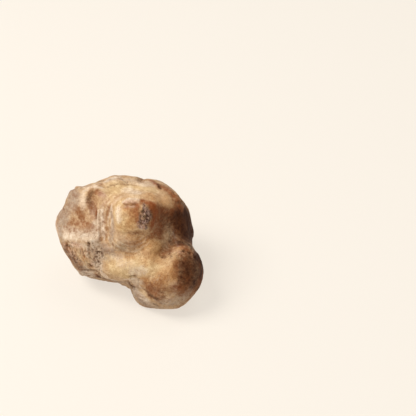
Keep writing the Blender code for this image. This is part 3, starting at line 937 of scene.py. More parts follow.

# %% [markdown]
# ### Grey
#
# Dried soil and dead skin are grey. They lie on the far upper left and in the cracked corner. Under the
# chin and along the lower rim the grey is painted shade.

# %% Brush on the grey
brush("grey", (
    ("left_top", 3.2, 0.8, (-23.4, 16.7), (-23.8, 12.0), (-26.2, 8.0)),
    ("left_middle", 2.4, 0.7, (-27.4, 8.8), (-25.8, 4.9)),
    ("left_edge", 1.3, 0.6, (-27.8, 4.9), (-27.0, 0.1)),
    ("top_left_edge", 1.2, 0.5, (-21.1, 19.1), (-17.9, 19.1)),
    ("crown", 1.7, 0.4, (-10.0, 21.8), (-7.7, 22.6)),
    ("dimple", 1.3, 0.6, (-15.5, 13.1), (-15.2, 10.0)),
    ("flank", 1.2, 0.6, (-7.3, 10.4), (-6.5, 4.5), (-7.3, -1.5)),
    ("chin", 2.8, 0.35, (-5.3, -0.7), (-2.9, -3.0), (0.2, -3.8)),
    ("wrinkled", 3.0, 0.6, (-14.4, -4.2), (-12.4, -7.0), (-12.8, -11.7)),
    ("wrinkled_top", 1.6, 0.6, (-13.2, -3.0), (-10.0, -4.2)),
    # Painted shade under the chin.
    ("under_chin", 1.6, 0.5, (-9.2, -5.4), (-6.9, -6.2)),
    ("ledge", 1.6, 0.2, (-19.9, -14.5), (-14.8, -15.3)),
    ("low_edge", 0.8, 0.6, (-6.9, -17.6), (-2.1, -18.8)),
    ("heel_foot", 2.6, 0.7, (12.1, -25.5), (16.8, -26.3), (21.5, -24.0)),
    # Painted shade along the lower rim.
    ("heel_edge", 1.8, 0.7, (23.9, -23.2), (27.1, -19.6)),
    ("fold", 1.2, 0.6, (1.8, -22.4), (5.0, -25.9), (8.9, -27.5)),
    ("streak", 0.8, 0.9, (17.2, 1.7), (18.0, -0.7), (19.2, -3.8)),
    ("hollow", 1.8, 0.4, (10.5, 5.6), (11.3, 1.7)),
    # Painted shade along the lower rim.
    ("heel_rim", 1.5, 0.5, (6.6, -27.9), (12.1, -28.7), (17.6, -27.9), (22.3, -25.1)),
    ("low_rim", 1.0, 0.4, (-19.5, -14.9), (-14.8, -17.2), (-9.2, -18.0), (-3.7, -18.8)),
    ("left_low", 1.6, 0.5, (-25.8, 12.0), (-27.4, 8.8)),
    ("left_wash", 2.0, 0.5, (-20.7, 15.9), (-21.1, 12.0)),
    ("fold_mauve", 1.0, 0.8, (4.2, -25.5), (5.8, -26.3)),
    ("low_left", 2.4, 0.5, (-24.2, -7.0), (-21.1, -10.1), (-17.9, -11.7)),
    ("valley", 1.6, 0.35, (-6.9, -3.8), (-2.9, -5.0)),
    ("left_edge_low", 1.4, 0.6, (-27.2, 2.5), (-26.4, -1.5)),
    # Painted shade along the lower rim.
    ("heel_edge_low", 2.0, 0.7, (22.3, -22.4), (23.9, -21.2)),
    ("flap", 0.5, 0.2, (-0.2, -16.8), (1.8, -16.2), (3.4, -16.8)),
    ("fold_top", 0.8, 0.5, (1.8, -20.0), (4.2, -20.4)),
    ("crown_left", 1.6, 0.3, (-12.0, 22.0), (-9.2, 23.0), (-6.9, 22.6)),
    ("crown_wash", 2.0, 0.15, (-2.1, 22.6), (2.6, 22.2), (6.6, 21.0)),
    ("left_corner", 1.6, 0.8, (-22.3, 17.9), (-21.1, 16.3)),
    # Painted shade along the lower rim.
    ("heel_right_low", 1.8, 0.6, (26.3, -18.8), (25.1, -21.2)),
    ("low_rim_right", 1.3, 0.5, (-10.4, -17.2), (-7.7, -18.0), (-4.5, -18.8)),
    ("ledge_top", 1.2, 0.6, (-19.9, -12.1), (-17.9, -12.5)),
    ("low_left_rim", 1.4, 0.6, (-25.4, -4.6), (-23.8, -7.4), (-21.1, -10.9)),
    ("belly_corner", 1.6, 0.4, (-10.0, -7.0), (-8.4, -8.6)),
    ("heel_low", 2.0, 0.4, (19.2, -22.4), (22.3, -22.0)),
    # Painted shade along the lower rim.
    ("fold_rim", 1.3, 0.65, (0.2, -21.2), (1.8, -24.3), (4.6, -26.7), (7.7, -27.9)),
    ("low_rim_under", 1.3, 0.35, (-17.1, -16.3), (-13.2, -17.2), (-8.4, -17.8), (-4.5, -18.6)),
    ("left_top_dim", 1.8, 0.45, (-21.9, 15.5), (-20.9, 13.1)),
))

# %% [markdown]
# ### Brown
#
# Brown is the damp stain of the soil, and in places painted shade. Broad strokes darken the hollow at the
# right, as brown skin deepened with painted shade, and the right side of the heel. Narrow ones lie in the
# creases and beside the ridges, partly as painted shade, and make them read from far away. In the dimple,
# along the shoulder's right edge, under the chin and along the lower rim the brown is painted shade.

# %% Brush on the brown
brush("brown", (
    ("heel_side", 3.7, 0.9, (23.1, -9.4), (24.7, -13.3), (23.5, -17.6), (21.5, -20.8)),
    ("heel_far", 3.2, 0.95, (27.5, -10.1), (28.6, -14.9), (26.7, -19.6)),
    # Brown skin deepened with painted shade in the hollow.
    ("hollow_side", 4.2, 0.95, (18.4, 8.8), (20.4, 4.1), (21.9, -0.7)),
    ("hollow_far", 3.0, 0.9, (22.7, 9.6), (24.3, 3.3), (24.3, -2.2)),
    # Painted shade along the shoulder's right edge.
    ("shoulder_right", 2.0, 0.6, (19.6, 14.7), (21.5, 12.0)),
    ("scar_patch", 1.7, 0.7, (-19.7, 10.0), (-19.1, 8.0), (-18.3, 6.0)),
    ("scar_patch_left", 1.3, 0.5, (-23.8, 5.2), (-20.7, 5.6)),
    ("scar_haze", 3.0, 0.3, (-22.7, 8.8), (-19.5, 9.6), (-16.3, 8.0)),
    ("scar_patch_right", 1.2, 0.5, (-16.7, 4.5), (-14.8, 4.1)),
    ("scar_specks", 2.2, 0.5, (-24.2, 3.3), (-19.5, 2.5), (-14.8, 2.5)),
    # Painted shade on the dimple's left wall.
    ("dimple_left", 0.9, 0.65, (-12.8, 18.1), (-14.8, 17.1), (-16.1, 15.1), (-16.3, 12.4)),
    ("dimple", 1.2, 0.45, (-15.2, 14.7), (-14.8, 11.6)),
    ("dimple_streak", 0.7, 0.55, (-13.6, 13.9), (-13.3, 10.8), (-13.2, 7.2)),
    ("flank_band", 1.0, 0.6, (-8.0, 11.6), (-8.6, 8.8), (-9.6, 5.6)),
    ("crown_line", 1.0, 0.6, (-12.4, 21.0), (-11.2, 20.6)),
    ("crown_line_right", 0.5, 0.45, (-8.4, 19.5), (-4.5, 20.4), (2.6, 20.0)),
    ("lens_line", 0.45, 0.85, (-2.3, 12.9), (-0.6, 12.4), (2.6, 12.6)),
    ("wart_left", 1.1, 0.5, (3.0, 12.7), (3.4, 8.8), (3.8, 4.9)),
    ("knob_foot", 1.0, 0.5, (0.2, 1.3), (5.0, 0.9)),
    ("chin_right", 2.2, 0.1, (1.0, -1.9), (5.0, -0.3)),
    # Painted shade under the chin.
    ("chin_low", 1.4, 0.15, (-9.2, -5.8), (-4.5, -6.6), (0.2, -5.8)),
    # Brown skin deepened with painted shade in the hollow.
    ("hollow_top", 2.6, 0.75, (9.3, 10.8), (12.9, 9.2), (16.8, 8.4), (20.0, 7.6)),
    ("hollow", 2.9, 0.75, (10.5, 8.0), (12.1, 4.1), (11.7, 1.7)),
    ("hollow_low", 1.6, 0.3, (8.1, 1.7), (10.1, 0.5)),
    ("groove", 2.3, 0.72, (17.2, -1.9), (15.8, -4.2), (14.2, -6.8)),
    ("low_left", 1.8, 0.15, (-23.0, -5.4), (-21.9, -8.2), (-20.3, -10.5)),
    ("wrinkled_low", 0.8, 0.45, (-16.3, -11.5), (-14.4, -12.5)),
    ("ledge_line", 0.5, 0.3, (-19.9, -13.1), (-16.3, -13.5)),
    ("lip_shade", 1.1, 0.9, (-12.8, -15.1), (-12.0, -16.1), (-11.2, -16.8)),
    ("flap_edge", 0.5, 0.6, (-0.4, -17.2), (-0.2, -18.8), (1.4, -20.2)),
    ("heel_patch", 2.0, 0.6, (6.6, -18.8), (9.7, -20.0), (12.9, -19.2)),
    ("heel_patch_low", 2.0, 0.6, (8.1, -21.6), (12.1, -21.6), (15.2, -21.2)),
    ("heel_line", 1.0, 0.7, (17.6, -10.5), (18.4, -12.5), (18.0, -14.9)),
    ("heel_low", 2.0, 0.25, (16.8, -22.0), (20.8, -22.0)),
    ("heel_foot", 1.6, 0.2, (11.3, -24.3), (15.2, -24.3)),
    ("fold_line", 0.9, 0.6, (6.2, -21.6), (7.3, -22.6), (9.3, -24.1), (10.9, -25.1)),
    ("fold_side", 1.8, 0.7, (7.3, -20.8), (9.3, -22.4), (11.7, -24.0)),
    ("shoulder_low", 1.2, 0.35, (6.6, 13.1), (10.5, 12.5)),
    # Painted shade along the shoulder's right edge.
    ("right_top_edge", 1.4, 0.5, (13.7, 19.8), (16.8, 16.7)),
    # Painted shade along the lower rim.
    ("heel_rim", 1.8, 0.4, (6.6, -27.9), (12.1, -28.7), (17.6, -27.9), (22.3, -25.1)),
    ("heel_rim_right", 1.6, 0.35, (24.7, -22.8), (27.5, -19.6), (29.0, -15.7)),
    ("left_rim", 1.2, 0.15, (-27.4, -0.7), (-25.0, -5.4), (-22.3, -10.5), (-19.9, -13.7)),
    # Painted shade on the dimple's left wall.
    ("dimple_wall", 2.0, 0.6, (-15.2, 17.1), (-15.3, 14.3), (-15.2, 11.2)),
    ("heel_wash", 2.0, 0.35, (8.1, -17.6), (12.1, -17.2), (15.6, -16.1)),
    ("knob_side", 1.8, 0.3, (-0.6, 8.8), (0.6, 12.0)),
    ("left_wash", 3.0, 0.22, (-22.7, 15.9), (-25.0, 12.0), (-27.4, 8.0)),
    # Painted shade on the dimple's left wall.
    ("dimple_dark", 1.6, 0.6, (-15.5, 15.5), (-15.9, 13.9), (-15.5, 12.0)),
    ("wart_low", 1.2, 0.3, (4.2, 2.1), (6.6, 1.3)),
    ("left_corner", 1.4, 0.25, (-22.3, 17.9), (-21.5, 16.3)),
    ("scar_patch_arm", 1.0, 0.4, (-21.1, 10.8), (-19.5, 9.2)),
    # Painted shade along the shoulder's right edge.
    ("shoulder_right_low", 1.8, 0.3, (17.6, 15.9), (19.2, 12.7)),
    ("fold_pool", 1.0, 0.7, (7.7, -23.4), (8.7, -24.3)),
    ("neck_top", 1.8, 0.1, (16.8, -5.4), (19.6, -4.6), (22.3, -5.4)),
    ("heel_low_middle", 2.6, 0.2, (20.0, -17.2), (21.5, -19.6)),
    # Painted shade along the shoulder's right edge.
    ("shoulder_edge", 1.6, 0.4, (14.4, 19.5), (17.2, 16.3), (19.2, 12.7)),
    ("neck_high", 1.8, 0.25, (22.3, -4.2), (24.7, -5.8)),
    ("heel_top_wash", 2.4, 0.14, (10.5, -12.1), (13.3, -10.9), (16.4, -9.7)),
    ("wart_low_right", 1.3, 0.45, (7.7, 5.6), (8.9, 3.7)),
    # Brown skin deepened with painted shade in the hollow.
    ("hollow_foot", 1.2, 0.4, (11.3, 0.1), (13.3, -0.7)),
    ("lip_shade_low", 1.2, 0.7, (-12.8, -16.5), (-11.2, -17.0), (-9.6, -17.2)),
    ("striae_low", 1.3, 0.3, (-8.8, 4.1), (-7.7, 2.1)),
    ("ridge_shade", 0.7, 0.55, (-11.7, 4.9), (-11.6, -1.5)),
    ("flank_shade_low", 0.6, 0.4, (-9.2, 3.3), (-9.0, -1.5)),
    ("flap_dot", 0.6, 0.35, (1.6, -15.7), (2.8, -15.6)),
    ("fold_line_high", 0.8, 0.5, (4.6, -19.8), (6.2, -21.4), (7.7, -23.0)),
    ("flap_inner_line", 0.5, 0.35, (0.2, -17.8), (1.8, -19.0)),
))

# %% [markdown]
# ### Rust and umber
#
# Rust is the warm red-brown at the edge of a stain, round the wart and inside the hollow; along the
# shoulder's right edge it is painted shadow. Umber, nearly black, is laid last and sparingly: in the deepest
# part of the hollow, where it is brown skin deepened with painted shade, in the heel's stain, in cracks and
# in pits, and as painted shade in the dimple and under the belly's lip.

# %% Brush on the rust and the umber
brush("rust", (
    ("scar_middle", 0.9, 0.1, (-19.5, 9.2), (-18.3, 6.8)),
    ("dimple_right", 1.0, 0.5, (-13.6, 17.1), (-12.0, 16.5)),
    ("dimple_line", 0.4, 0.9, (-13.2, 12.7), (-12.8, 8.0)),
    ("crown_spot", 0.8, 0.4, (-12.0, 21.2)),
    ("lens_foot", 0.8, 0.3, (-2.9, 11.6), (-0.6, 11.4)),
    ("lens_round", 0.9, 0.4, (4.6, 13.1), (2.6, 11.6)),
    ("wart_left", 1.2, 0.5, (3.0, 12.0), (2.4, 9.6), (3.0, 6.4)),
    ("wart_top", 1.2, 0.8, (5.4, 13.9), (7.7, 13.1)),
    ("wart_right", 1.7, 0.9, (8.9, 11.6), (10.1, 8.8), (8.9, 4.5)),
    ("spot", 1.5, 0.7, (8.5, 21.8), (10.5, 20.6), (12.1, 19.5)),
    # Painted shadow along the shoulder's right edge.
    ("shoulder_edge", 2.2, 0.5, (16.0, 18.3), (18.4, 15.1), (20.0, 10.8)),
    ("hollow_low", 1.2, 0.5, (7.3, -0.7), (9.3, 0.1)),
    ("groove_side", 2.0, 0.1, (16.4, -1.9), (14.4, -4.6), (12.9, -7.0)),
    ("neck", 1.8, 0.4, (20.0, -3.4), (22.7, -5.4), (25.5, -7.8)),
    ("heel_middle", 2.4, 0.35, (20.4, -11.7), (21.5, -14.9), (22.7, -16.8)),
    ("heel_patch", 1.3, 0.15, (9.3, -19.2), (11.3, -21.2)),
    ("heel_dot", 0.9, 0.6, (17.6, -20.0), (20.0, -20.4)),
    ("heel_margin", 1.3, 0.1, (20.4, -8.6), (19.2, -10.9), (18.6, -14.9), (19.2, -18.8), (21.9, -21.6)),
    ("hollow_margin", 1.5, 0.5, (8.1, 12.0), (12.1, 10.6), (16.8, 9.8), (20.0, 10.4)),
    ("valley", 1.4, 0.25, (1.0, -3.4), (4.2, -2.6)),
    ("left_specks", 1.4, 0.3, (-22.7, 5.6), (-15.5, 4.1)),
    ("wart_haze", 1.5, 0.2, (1.8, 10.4), (1.0, 8.0)),
    ("hollow_haze", 2.4, 0.25, (11.3, 6.4), (12.9, 3.3)),
    ("hollow_wash", 3.4, 0.35, (11.3, 9.6), (12.9, 5.6), (11.3, 2.5)),
    ("hollow_wash_right", 3.4, 0.3, (17.6, 8.0), (20.0, 2.5)),
    ("heel_wash", 3.4, 0.3, (20.8, -10.1), (22.7, -14.1), (21.5, -16.8)),
    ("hollow_foot", 2.0, 0.25, (8.9, 1.7), (12.1, 0.1)),
    ("fold_side", 1.6, 0.15, (7.7, -20.8), (10.1, -22.8)),
    ("heel_right", 2.0, 0.25, (27.5, -11.7), (27.9, -15.7), (26.7, -18.8)),
    ("low_left", 1.4, 0.1, (-17.9, -5.4), (-16.3, -8.6)),
    ("neck_high", 1.7, 0.25, (21.2, -4.6), (23.5, -5.6), (25.1, -6.8)),
    ("neck_crest", 1.4, 0.2, (20.0, -3.4), (22.3, -3.8)),
    ("spot_wide", 1.7, 0.35, (9.3, 21.8), (11.3, 20.6), (12.9, 19.1)),
))
brush("umber", (
    ("spot", 0.9, 0.75, (11.5, 20.4), (12.1, 19.1)),
    # Painted shade on the dimple's left wall.
    ("dimple", 0.9, 0.45, (-16.5, 15.5), (-16.3, 13.7)),
    ("dimple_wash", 1.5, 0.15, (-15.9, 14.7), (-15.5, 12.4)),
    ("wart_right", 0.9, 0.5, (8.5, 9.6), (8.9, 7.2)),
    # Brown skin deepened with painted shade in the hollow.
    ("hollow_left", 2.8, 0.35, (14.4, 7.2), (16.4, 3.3)),
    ("hollow_middle", 3.8, 0.8, (19.2, 7.6), (20.4, 4.5), (21.9, -0.3)),
    ("hollow_right", 2.4, 0.95, (22.3, 8.8), (23.9, 2.5)),
    ("hollow_low", 1.4, 0.35, (16.8, -2.2), (20.0, -2.6)),
    ("neck_spot_1", 0.6, 0.2, (21.5, -5.8)),
    ("neck_spot_2", 0.6, 0.5, (23.7, -6.8)),
    ("neck_spot_3", 1.2, 0.7, (25.5, -7.4), (26.3, -9.0)),
    ("heel_dark", 3.2, 0.45, (21.9, -10.1), (23.9, -13.3), (22.3, -16.5)),
    ("heel_outer", 2.4, 0.6, (25.9, -10.1), (27.1, -14.1), (25.9, -18.8)),
    ("heel_dark_right", 1.8, 0.85, (27.1, -8.6), (28.3, -12.1), (28.3, -16.1)),
    ("heel_dark_low", 1.8, 0.1, (21.5, -19.6), (23.9, -20.4)),
    ("heel_dark_left", 1.4, 0.3, (20.0, -14.1), (20.0, -17.2)),
    ("fold_end", 0.9, 0.6, (7.9, -23.4), (9.1, -24.1)),
    ("wrinkled_pit_1", 0.5, 0.9, (-11.2, -7.0)),
    ("wrinkled_pit_2", 0.6, 0.9, (-12.4, -10.3)),
    ("wrinkled_pit_3", 0.4, 0.4, (-15.9, -2.6), (-15.7, -4.6)),
    ("groove_pit_1", 0.5, 0.6, (12.9, -8.2)),
    ("groove_pit_2", 0.4, 0.7, (15.6, -7.0)),
    # Painted shade under the belly's lip.
    ("lip", 0.6, 0.45, (-12.6, -16.1), (-11.6, -16.8)),
    ("low_left", 0.5, 0.6, (-25.0, -3.8), (-23.0, -4.2)),
    ("heel_middle", 3.4, 0.3, (20.8, -12.5), (22.3, -15.7), (24.3, -18.0)),
    ("heel_specks", 1.2, 0.2, (8.5, -19.2), (10.1, -20.8)),
    # Brown skin deepened with painted shade in the hollow.
    ("hollow_top", 1.6, 0.5, (17.6, 8.8), (21.2, 8.0)),
    ("hollow_wash", 3.0, 0.2, (12.1, 8.8), (12.9, 4.1)),
    ("fold_side", 0.9, 0.3, (7.3, -22.0), (9.3, -23.6), (10.9, -24.9)),
    ("heel_line_1", 0.5, 0.3, (12.5, -22.2), (14.0, -22.0)),
    ("heel_line_2", 0.5, 0.25, (12.5, -24.1), (14.4, -24.1)),
    ("heel_dot_1", 0.7, 0.35, (18.0, -19.8)),
    ("heel_dot_2", 0.6, 0.3, (20.0, -20.0)),
    # Painted shade under the belly's lip.
    ("lip_end", 0.5, 0.35, (-14.0, -16.3), (-12.8, -16.8)),
    ("low_left_1", 0.5, 0.6, (-25.4, -5.0), (-24.6, -6.2)),
    ("low_left_2", 0.5, 0.5, (-22.3, -8.6), (-21.1, -10.1)),
    ("low_left_3", 0.4, 0.5, (-19.5, -5.4), (-19.1, -7.0)),
    # Brown skin deepened with painted shade in the hollow.
    ("hollow_rim", 2.2, 0.85, (22.3, 10.8), (23.9, 6.8), (24.7, 2.5), (24.3, -1.5)),
    ("wart_crack_1", 0.4, 0.35, (5.8, 11.6), (5.6, 9.2), (6.2, 7.2)),
    ("wart_crack_2", 0.4, 0.35, (6.9, 10.0), (6.7, 7.6), (7.1, 5.6)),
    ("wart_crack_3", 0.35, 0.3, (4.6, 8.0), (5.0, 6.0), (5.8, 4.5)),
    ("neck_high", 1.5, 0.2, (22.7, -4.4), (24.3, -5.4), (25.9, -7.4)),
    ("heel_edge_high", 2.4, 0.9, (26.7, -7.8), (28.3, -10.5), (29.0, -14.5)),
    ("heel_centre", 1.8, 0.4, (21.5, -11.3), (22.5, -13.3)),
    ("groove", 1.7, 0.25, (16.0, -2.2), (15.0, -5.0)),
    ("heel_inner_right", 2.5, 0.35, (24.7, -9.7), (25.9, -13.3), (25.1, -17.6)),
    # Painted shade under the belly's lip.
    ("lip_dark", 1.1, 0.7, (-12.0, -15.9), (-10.8, -16.7)),
    ("heel_centre_wide", 2.4, 0.25, (21.5, -11.7), (22.7, -14.1)),
    ("neck_crest", 1.4, 0.75, (19.6, -2.8), (21.9, -2.8), (23.9, -3.6), (24.7, -4.6)),
    ("right_rim", 1.6, 0.7, (26.7, -5.8), (27.9, -8.2), (28.6, -10.9)),
    ("fold_spot", 0.8, 0.8, (10.1, -26.5), (11.3, -26.9)),
    ("right_rim_low", 1.6, 0.5, (27.9, -10.1), (28.6, -13.3)),
    ("heel_rim_dark", 1.5, 0.5, (26.7, -8.6), (27.9, -11.7), (28.3, -14.9)),
    # Painted shade under the belly's lip.
    ("lip_mark", 0.9, 0.5, (-12.4, -16.3), (-10.4, -17.0)),
))

# %% [markdown]
# ### Crust
#
# The wart has lost its skin, and a crumbly crust of light and dark grains fills it.

# %% Brush on the crust
brush("crust", (
    ("wart_top", 0.7, 0.7, (5.8, 12.4), (6.2, 10.0)),
    ("wart_middle", 1.1, 0.95, (5.6, 9.2), (7.3, 9.6), (7.7, 7.2)),
    ("wart_left", 0.8, 0.8, (4.8, 7.6)),
    ("wart_low", 1.1, 0.95, (4.6, 5.6), (6.6, 5.6)),
    ("wart_foot", 0.8, 0.8, (4.2, 3.7), (6.2, 3.5)),
))

# %% [markdown]
# ### Pigments all round
#
# The sides and the back get fewer and broader strokes. They carry the stains of the face round the edge,
# and the hollow's painted shade round the right side, darken the furrows, and grey the foot with painted
# shade.

# %% Brush on the pigments all round
# Here the places are turns and rises in degrees.
ROUND_PAINT = {
    "straw": (
        ("back_dome", 5.0, 0.6, (148, 22), (158, 30)),
        ("right_dome", 4.0, 0.5, (106, 10), (116, -4)),
        ("left_dome", 4.5, 0.5, (262, 18), (250, 30)),
    ),
    "cream": (
        ("back_scar", 3.0, 0.7, (192, 28), (204, 20)),
        ("left_scar", 3.0, 0.6, (270, 6), (264, -6)),
    ),
    "grey": (
        # Painted shade round the foot.
        ("foot", 2.8, 0.6, (-70, -24), (-40, -30), (-16, -36), (20, -36), (56, -30), (84, -26)),
        ("foot_back", 3.2, 0.6, (110, -24), (140, -28), (170, -30), (205, -28), (240, -26)),
    ),
    "brown": (
        ("back_furrow", 1.8, 0.45, (158, 56), (163, 42), (161, 30)),
        ("back_furrow_low", 2.2, 0.45, (170, -8), (168, -24)),
        # The hollow's painted shade, carried round the right side.
        ("right_hem", 4.0, 0.75, (84, 22), (92, 10), (90, -6)),
        ("right_fade", 4.6, 0.45, (96, 28), (102, 12), (98, -8)),
        ("heel_side", 4.0, 0.7, (70, -4), (76, -14), (66, -22)),
        ("heel_low", 3.6, 0.6, (52, -20), (60, -26)),
        ("left_stain", 3.2, 0.5, (274, -12), (290, -20)),
    ),
    "rust": (
        ("back_rust", 2.4, 0.45, (152, -6), (148, -16)),
        ("right_rust", 2.4, 0.5, (96, 22), (99, 8), (96, -8)),
        ("heel_rust", 3.0, 0.45, (62, -14), (70, -24)),
    ),
    "umber": (
        # The hollow's painted shade, carried round the right side.
        ("right_dark", 2.6, 0.6, (84, 8), (90, -4)),
        ("heel_dark", 2.4, 0.5, (74, -8), (72, -18)),
        ("heel_dark_low", 3.0, 0.4, (58, -20), (62, -14)),
        ("low_dark", 2.0, 0.5, (60, -24), (84, -26)),
    ),
}

for pigment, strokes in ROUND_PAINT.items():
    brush(pigment, strokes, all_round)

# %% [markdown]
# ### Colour in the lines
#
# On a real truffle the low lines hold soil and the high ones are rubbed pale. So the growth lines and the
# streaks, which are numbers above and below zero, give brown where they are low and cream where they are
# high.

# %% Let the growth lines and the streaks take colour
# The marks, and how strongly they take brown and cream.
LINE_COLOURS = ((growth, 0.55, 0.60), (streaks, 1.5, 1.0))

for marks, brown, cream in LINE_COLOURS:
    pigments["brown"] = np.maximum(pigments["brown"], np.clip(-marks * brown, 0, 1))
    pigments["cream"] = np.maximum(pigments["cream"], np.clip(marks * cream, 0, 1))
print("lines that take colour:", int(((growth != 0) | (streaks != 0)).sum()), "points")

# %% [markdown]
# ### Clouded stains
#
# The dark strokes of the face reach round its edge, and behind it they would end in one smooth patch. A
# cloud breaks them up there. Then each pigment but the crust stains the sides and the back in patches of
# its own cloud, where that cloud is above a threshold: a low threshold for what is common, a high one for
# what is rare.

# %% Stain the sides and the back with clouds
BEHIND_SPAN = 0.3
BREAK_SIZE, BREAK_BASE, BREAK_GAIN = 5.0, 0.35, 1.6
BREAK_SHARES = (("umber", 0.85), ("brown", 0.40))
# Pigment, size of the cloud in mm, its seed, threshold, and strength.
STAINS = (
    ("straw", 12.0, 61.0, 0.00, 0.75),
    ("ochre", 10.0, 62.0, 0.06, 0.60),
    ("cream", 9.0, 63.0, 0.12, 0.80),
    ("rose", 9.0, 65.0, 0.14, 0.50),
    ("grey", 11.0, 67.0, 0.04, 0.60),
    ("brown", 10.0, 69.0, 0.14, 0.65),
    ("rust", 8.0, 71.0, 0.24, 0.60),
    ("umber", 4.5, 73.0, 0.40, 0.70),
)
STAIN_EDGE = 0.34

behind = np.clip(-facing / BEHIND_SPAN, 0, 1)
broken = behind * np.clip(BREAK_BASE + BREAK_GAIN * cloud(BREAK_SIZE, 4, 75.0), 0, 1)
for pigment, share in BREAK_SHARES:
    pigments[pigment] *= 1 - share * broken
for pigment, size, seed, threshold, strength in STAINS:
    patch = np.clip((cloud(size, 4, seed) - threshold) / STAIN_EDGE, 0, 1) * strength * away
    pigments[pigment] = cover(pigments[pigment], patch)
print("stains:", len(STAINS))

# %% [markdown]
# ### Painted shade at the outline and the foot
#
# Grey paint darkens the skin where it turns edge-on to the face, as painted shade: least on top, which is
# left lighter as if lit from above, with brown added, most of all underneath. Near the floor the foot is
# darkened with soil and painted contact shade, most of all at the sides and the back.

# %% Paint shade on the outline and the foot
EDGE_BAND = 0.30
EDGE_SHADE_GREY, EDGE_SHADE_BROWN = 0.45, 0.12
LIGHTER_ON_TOP = 0.8
BROWN_ABOVE = 0.4
FOOT_HEIGHT = 5.0 * MM
FOOT_BROWN, FOOT_GREY = 0.45, 0.75
FOOT_FRONT = 0.2

upward = normals @ np.array(up)
underneath = np.clip(-upward, 0, 1)
# Painted shade: greyer and browner where the skin is seen edge-on from the face, least on top.
outline_shade = np.exp(-((facing / EDGE_BAND) ** 2)) * (1 - LIGHTER_ON_TOP * np.clip(upward, 0, 1))
# Soil and painted contact shade: darker near the floor, most of all at the sides and the back.
foot = np.exp(-((places[:, 2] / FOOT_HEIGHT) ** 2)) * (FOOT_FRONT + (1 - FOOT_FRONT) * away)
grey_shade_and_soil = np.maximum(EDGE_SHADE_GREY * outline_shade, FOOT_GREY * foot)
brown_shade_and_soil = np.maximum(EDGE_SHADE_BROWN * outline_shade * (BROWN_ABOVE + underneath), FOOT_BROWN * foot)
pigments["grey"] = np.maximum(pigments["grey"], grey_shade_and_soil)
pigments["brown"] = np.maximum(pigments["brown"], brown_shade_and_soil)
print("soiled points:", int((foot > 0.5).sum()))

# %% [markdown]
# ### Onto the mesh
#
# The layers become attributes of the mesh, where the material can read them. The soil in the creases and
# the roughness go with them.

# %% Store the pigments on the mesh
SOIL_DEPTH = 0.8

pigments["soil"] = np.clip(soil / SOIL_DEPTH, 0, 1)
pigments["rough"] = np.clip(rough, 0, 1)
for name, layer in pigments.items():
    attribute = skin.data.attributes.new(name, "FLOAT", "POINT")
    attribute.data.foreach_set("value", layer)
    print(name, "covers", round(float(layer.mean()) * 100, 1), "%")

# %% [markdown]
# ## The skin's material
#
# The base is a tan that drifts between two tones. Each pigment is mixed over it by its attribute, but first
# a small group of nodes makes the attribute ragged: where the pigment is thin, a noise decides which flecks
# of skin take it, as real stains do. Where it is full or missing, the group leaves it as it is.

# %% The group that makes an edge ragged
ragged = bpy.data.node_groups.new("ragged_edge", "ShaderNodeTree")
for name, default in (("Mask", 0), ("Pattern", 0.5), ("Raggedness", 1)):
    ragged.interface.new_socket(name, in_out="INPUT", socket_type="NodeSocketFloat").default_value = default
ragged.interface.new_socket("Mask", in_out="OUTPUT", socket_type="NodeSocketFloat")
ragged_in = ragged.nodes.new("NodeGroupInput")
ragged_out = ragged.nodes.new("NodeGroupOutput")


def add_math(tree, operation, first, second, third=None, clamp=False):
    """A Math node. Each value is a number or another node's output."""
    node = tree.nodes.new("ShaderNodeMath")
    node.operation = operation
    node.use_clamp = clamp
    for socket, value in zip(node.inputs, (first, second, third)):
        if isinstance(value, bpy.types.NodeSocket):
            tree.links.new(value, socket)
        elif value is not None:
            socket.default_value = value
    return node.outputs[0]


mask, pattern, raggedness = ragged_in.outputs[:3]
bare = add_math(ragged, "SUBTRACT", 1.0, mask)
thin = add_math(ragged, "MULTIPLY", add_math(ragged, "MULTIPLY", mask, bare), 4.0)
push = add_math(ragged, "MULTIPLY", add_math(ragged, "SUBTRACT", pattern, 0.5), raggedness)
flecked = add_math(ragged, "MULTIPLY_ADD", thin, push, mask, clamp=True)
ragged.links.new(flecked, ragged_out.inputs[0])
print("group:", ragged.name, "with", len(ragged.nodes), "nodes")

# %% [markdown]
# The material has one shader, and everything that changes over the skin is worked out before it. Every
# noise looks up its place on the object itself, so the pattern stays on the truffle wherever it goes. A few
# helpers keep the node work short.

# %% Start the material
SHINE = 0.14

paint = bpy.data.materials.new("truffle_skin")
paint.use_nodes = True
tree = paint.node_tree
shader = tree.nodes["Principled BSDF"]
shader.inputs["Specular IOR Level"].default_value = SHINE
here = tree.nodes.new("ShaderNodeTexCoord").outputs["Object"]


def screen_colour(red, green, blue):
    """A colour as a screen names it, 0 to 255, made linear for the shader."""
    return tuple((level / 255) ** 2.2 for level in (red, green, blue)) + (1,)


def add_noise(size, detail=3.0, roughness=0.55):
    """A noise with blobs some size millimetres wide."""
    node = tree.nodes.new("ShaderNodeTexNoise")
    node.inputs["Scale"].default_value = 1 / (size * MM)
    node.inputs["Detail"].default_value = detail
    node.inputs["Roughness"].default_value = roughness
    tree.links.new(here, node.inputs["Vector"])
    return node.outputs["Fac"]


def read(name):
    """The value of one of the mesh's attributes."""
    node = tree.nodes.new("ShaderNodeAttribute")
    node.attribute_name = name
    return node.outputs["Fac"]


def add_mix(factor, first, second, blend="MIX"):
    """Mixes two colours. Each is a colour or another node's output."""
    node = tree.nodes.new("ShaderNodeMix")
    node.data_type = "RGBA"
    node.blend_type = blend
    for number, value in ((0, factor), (6, first), (7, second)):
        if isinstance(value, bpy.types.NodeSocket):
            tree.links.new(value, node.inputs[number])
        else:
            node.inputs[number].default_value = value
    return node.outputs[2]


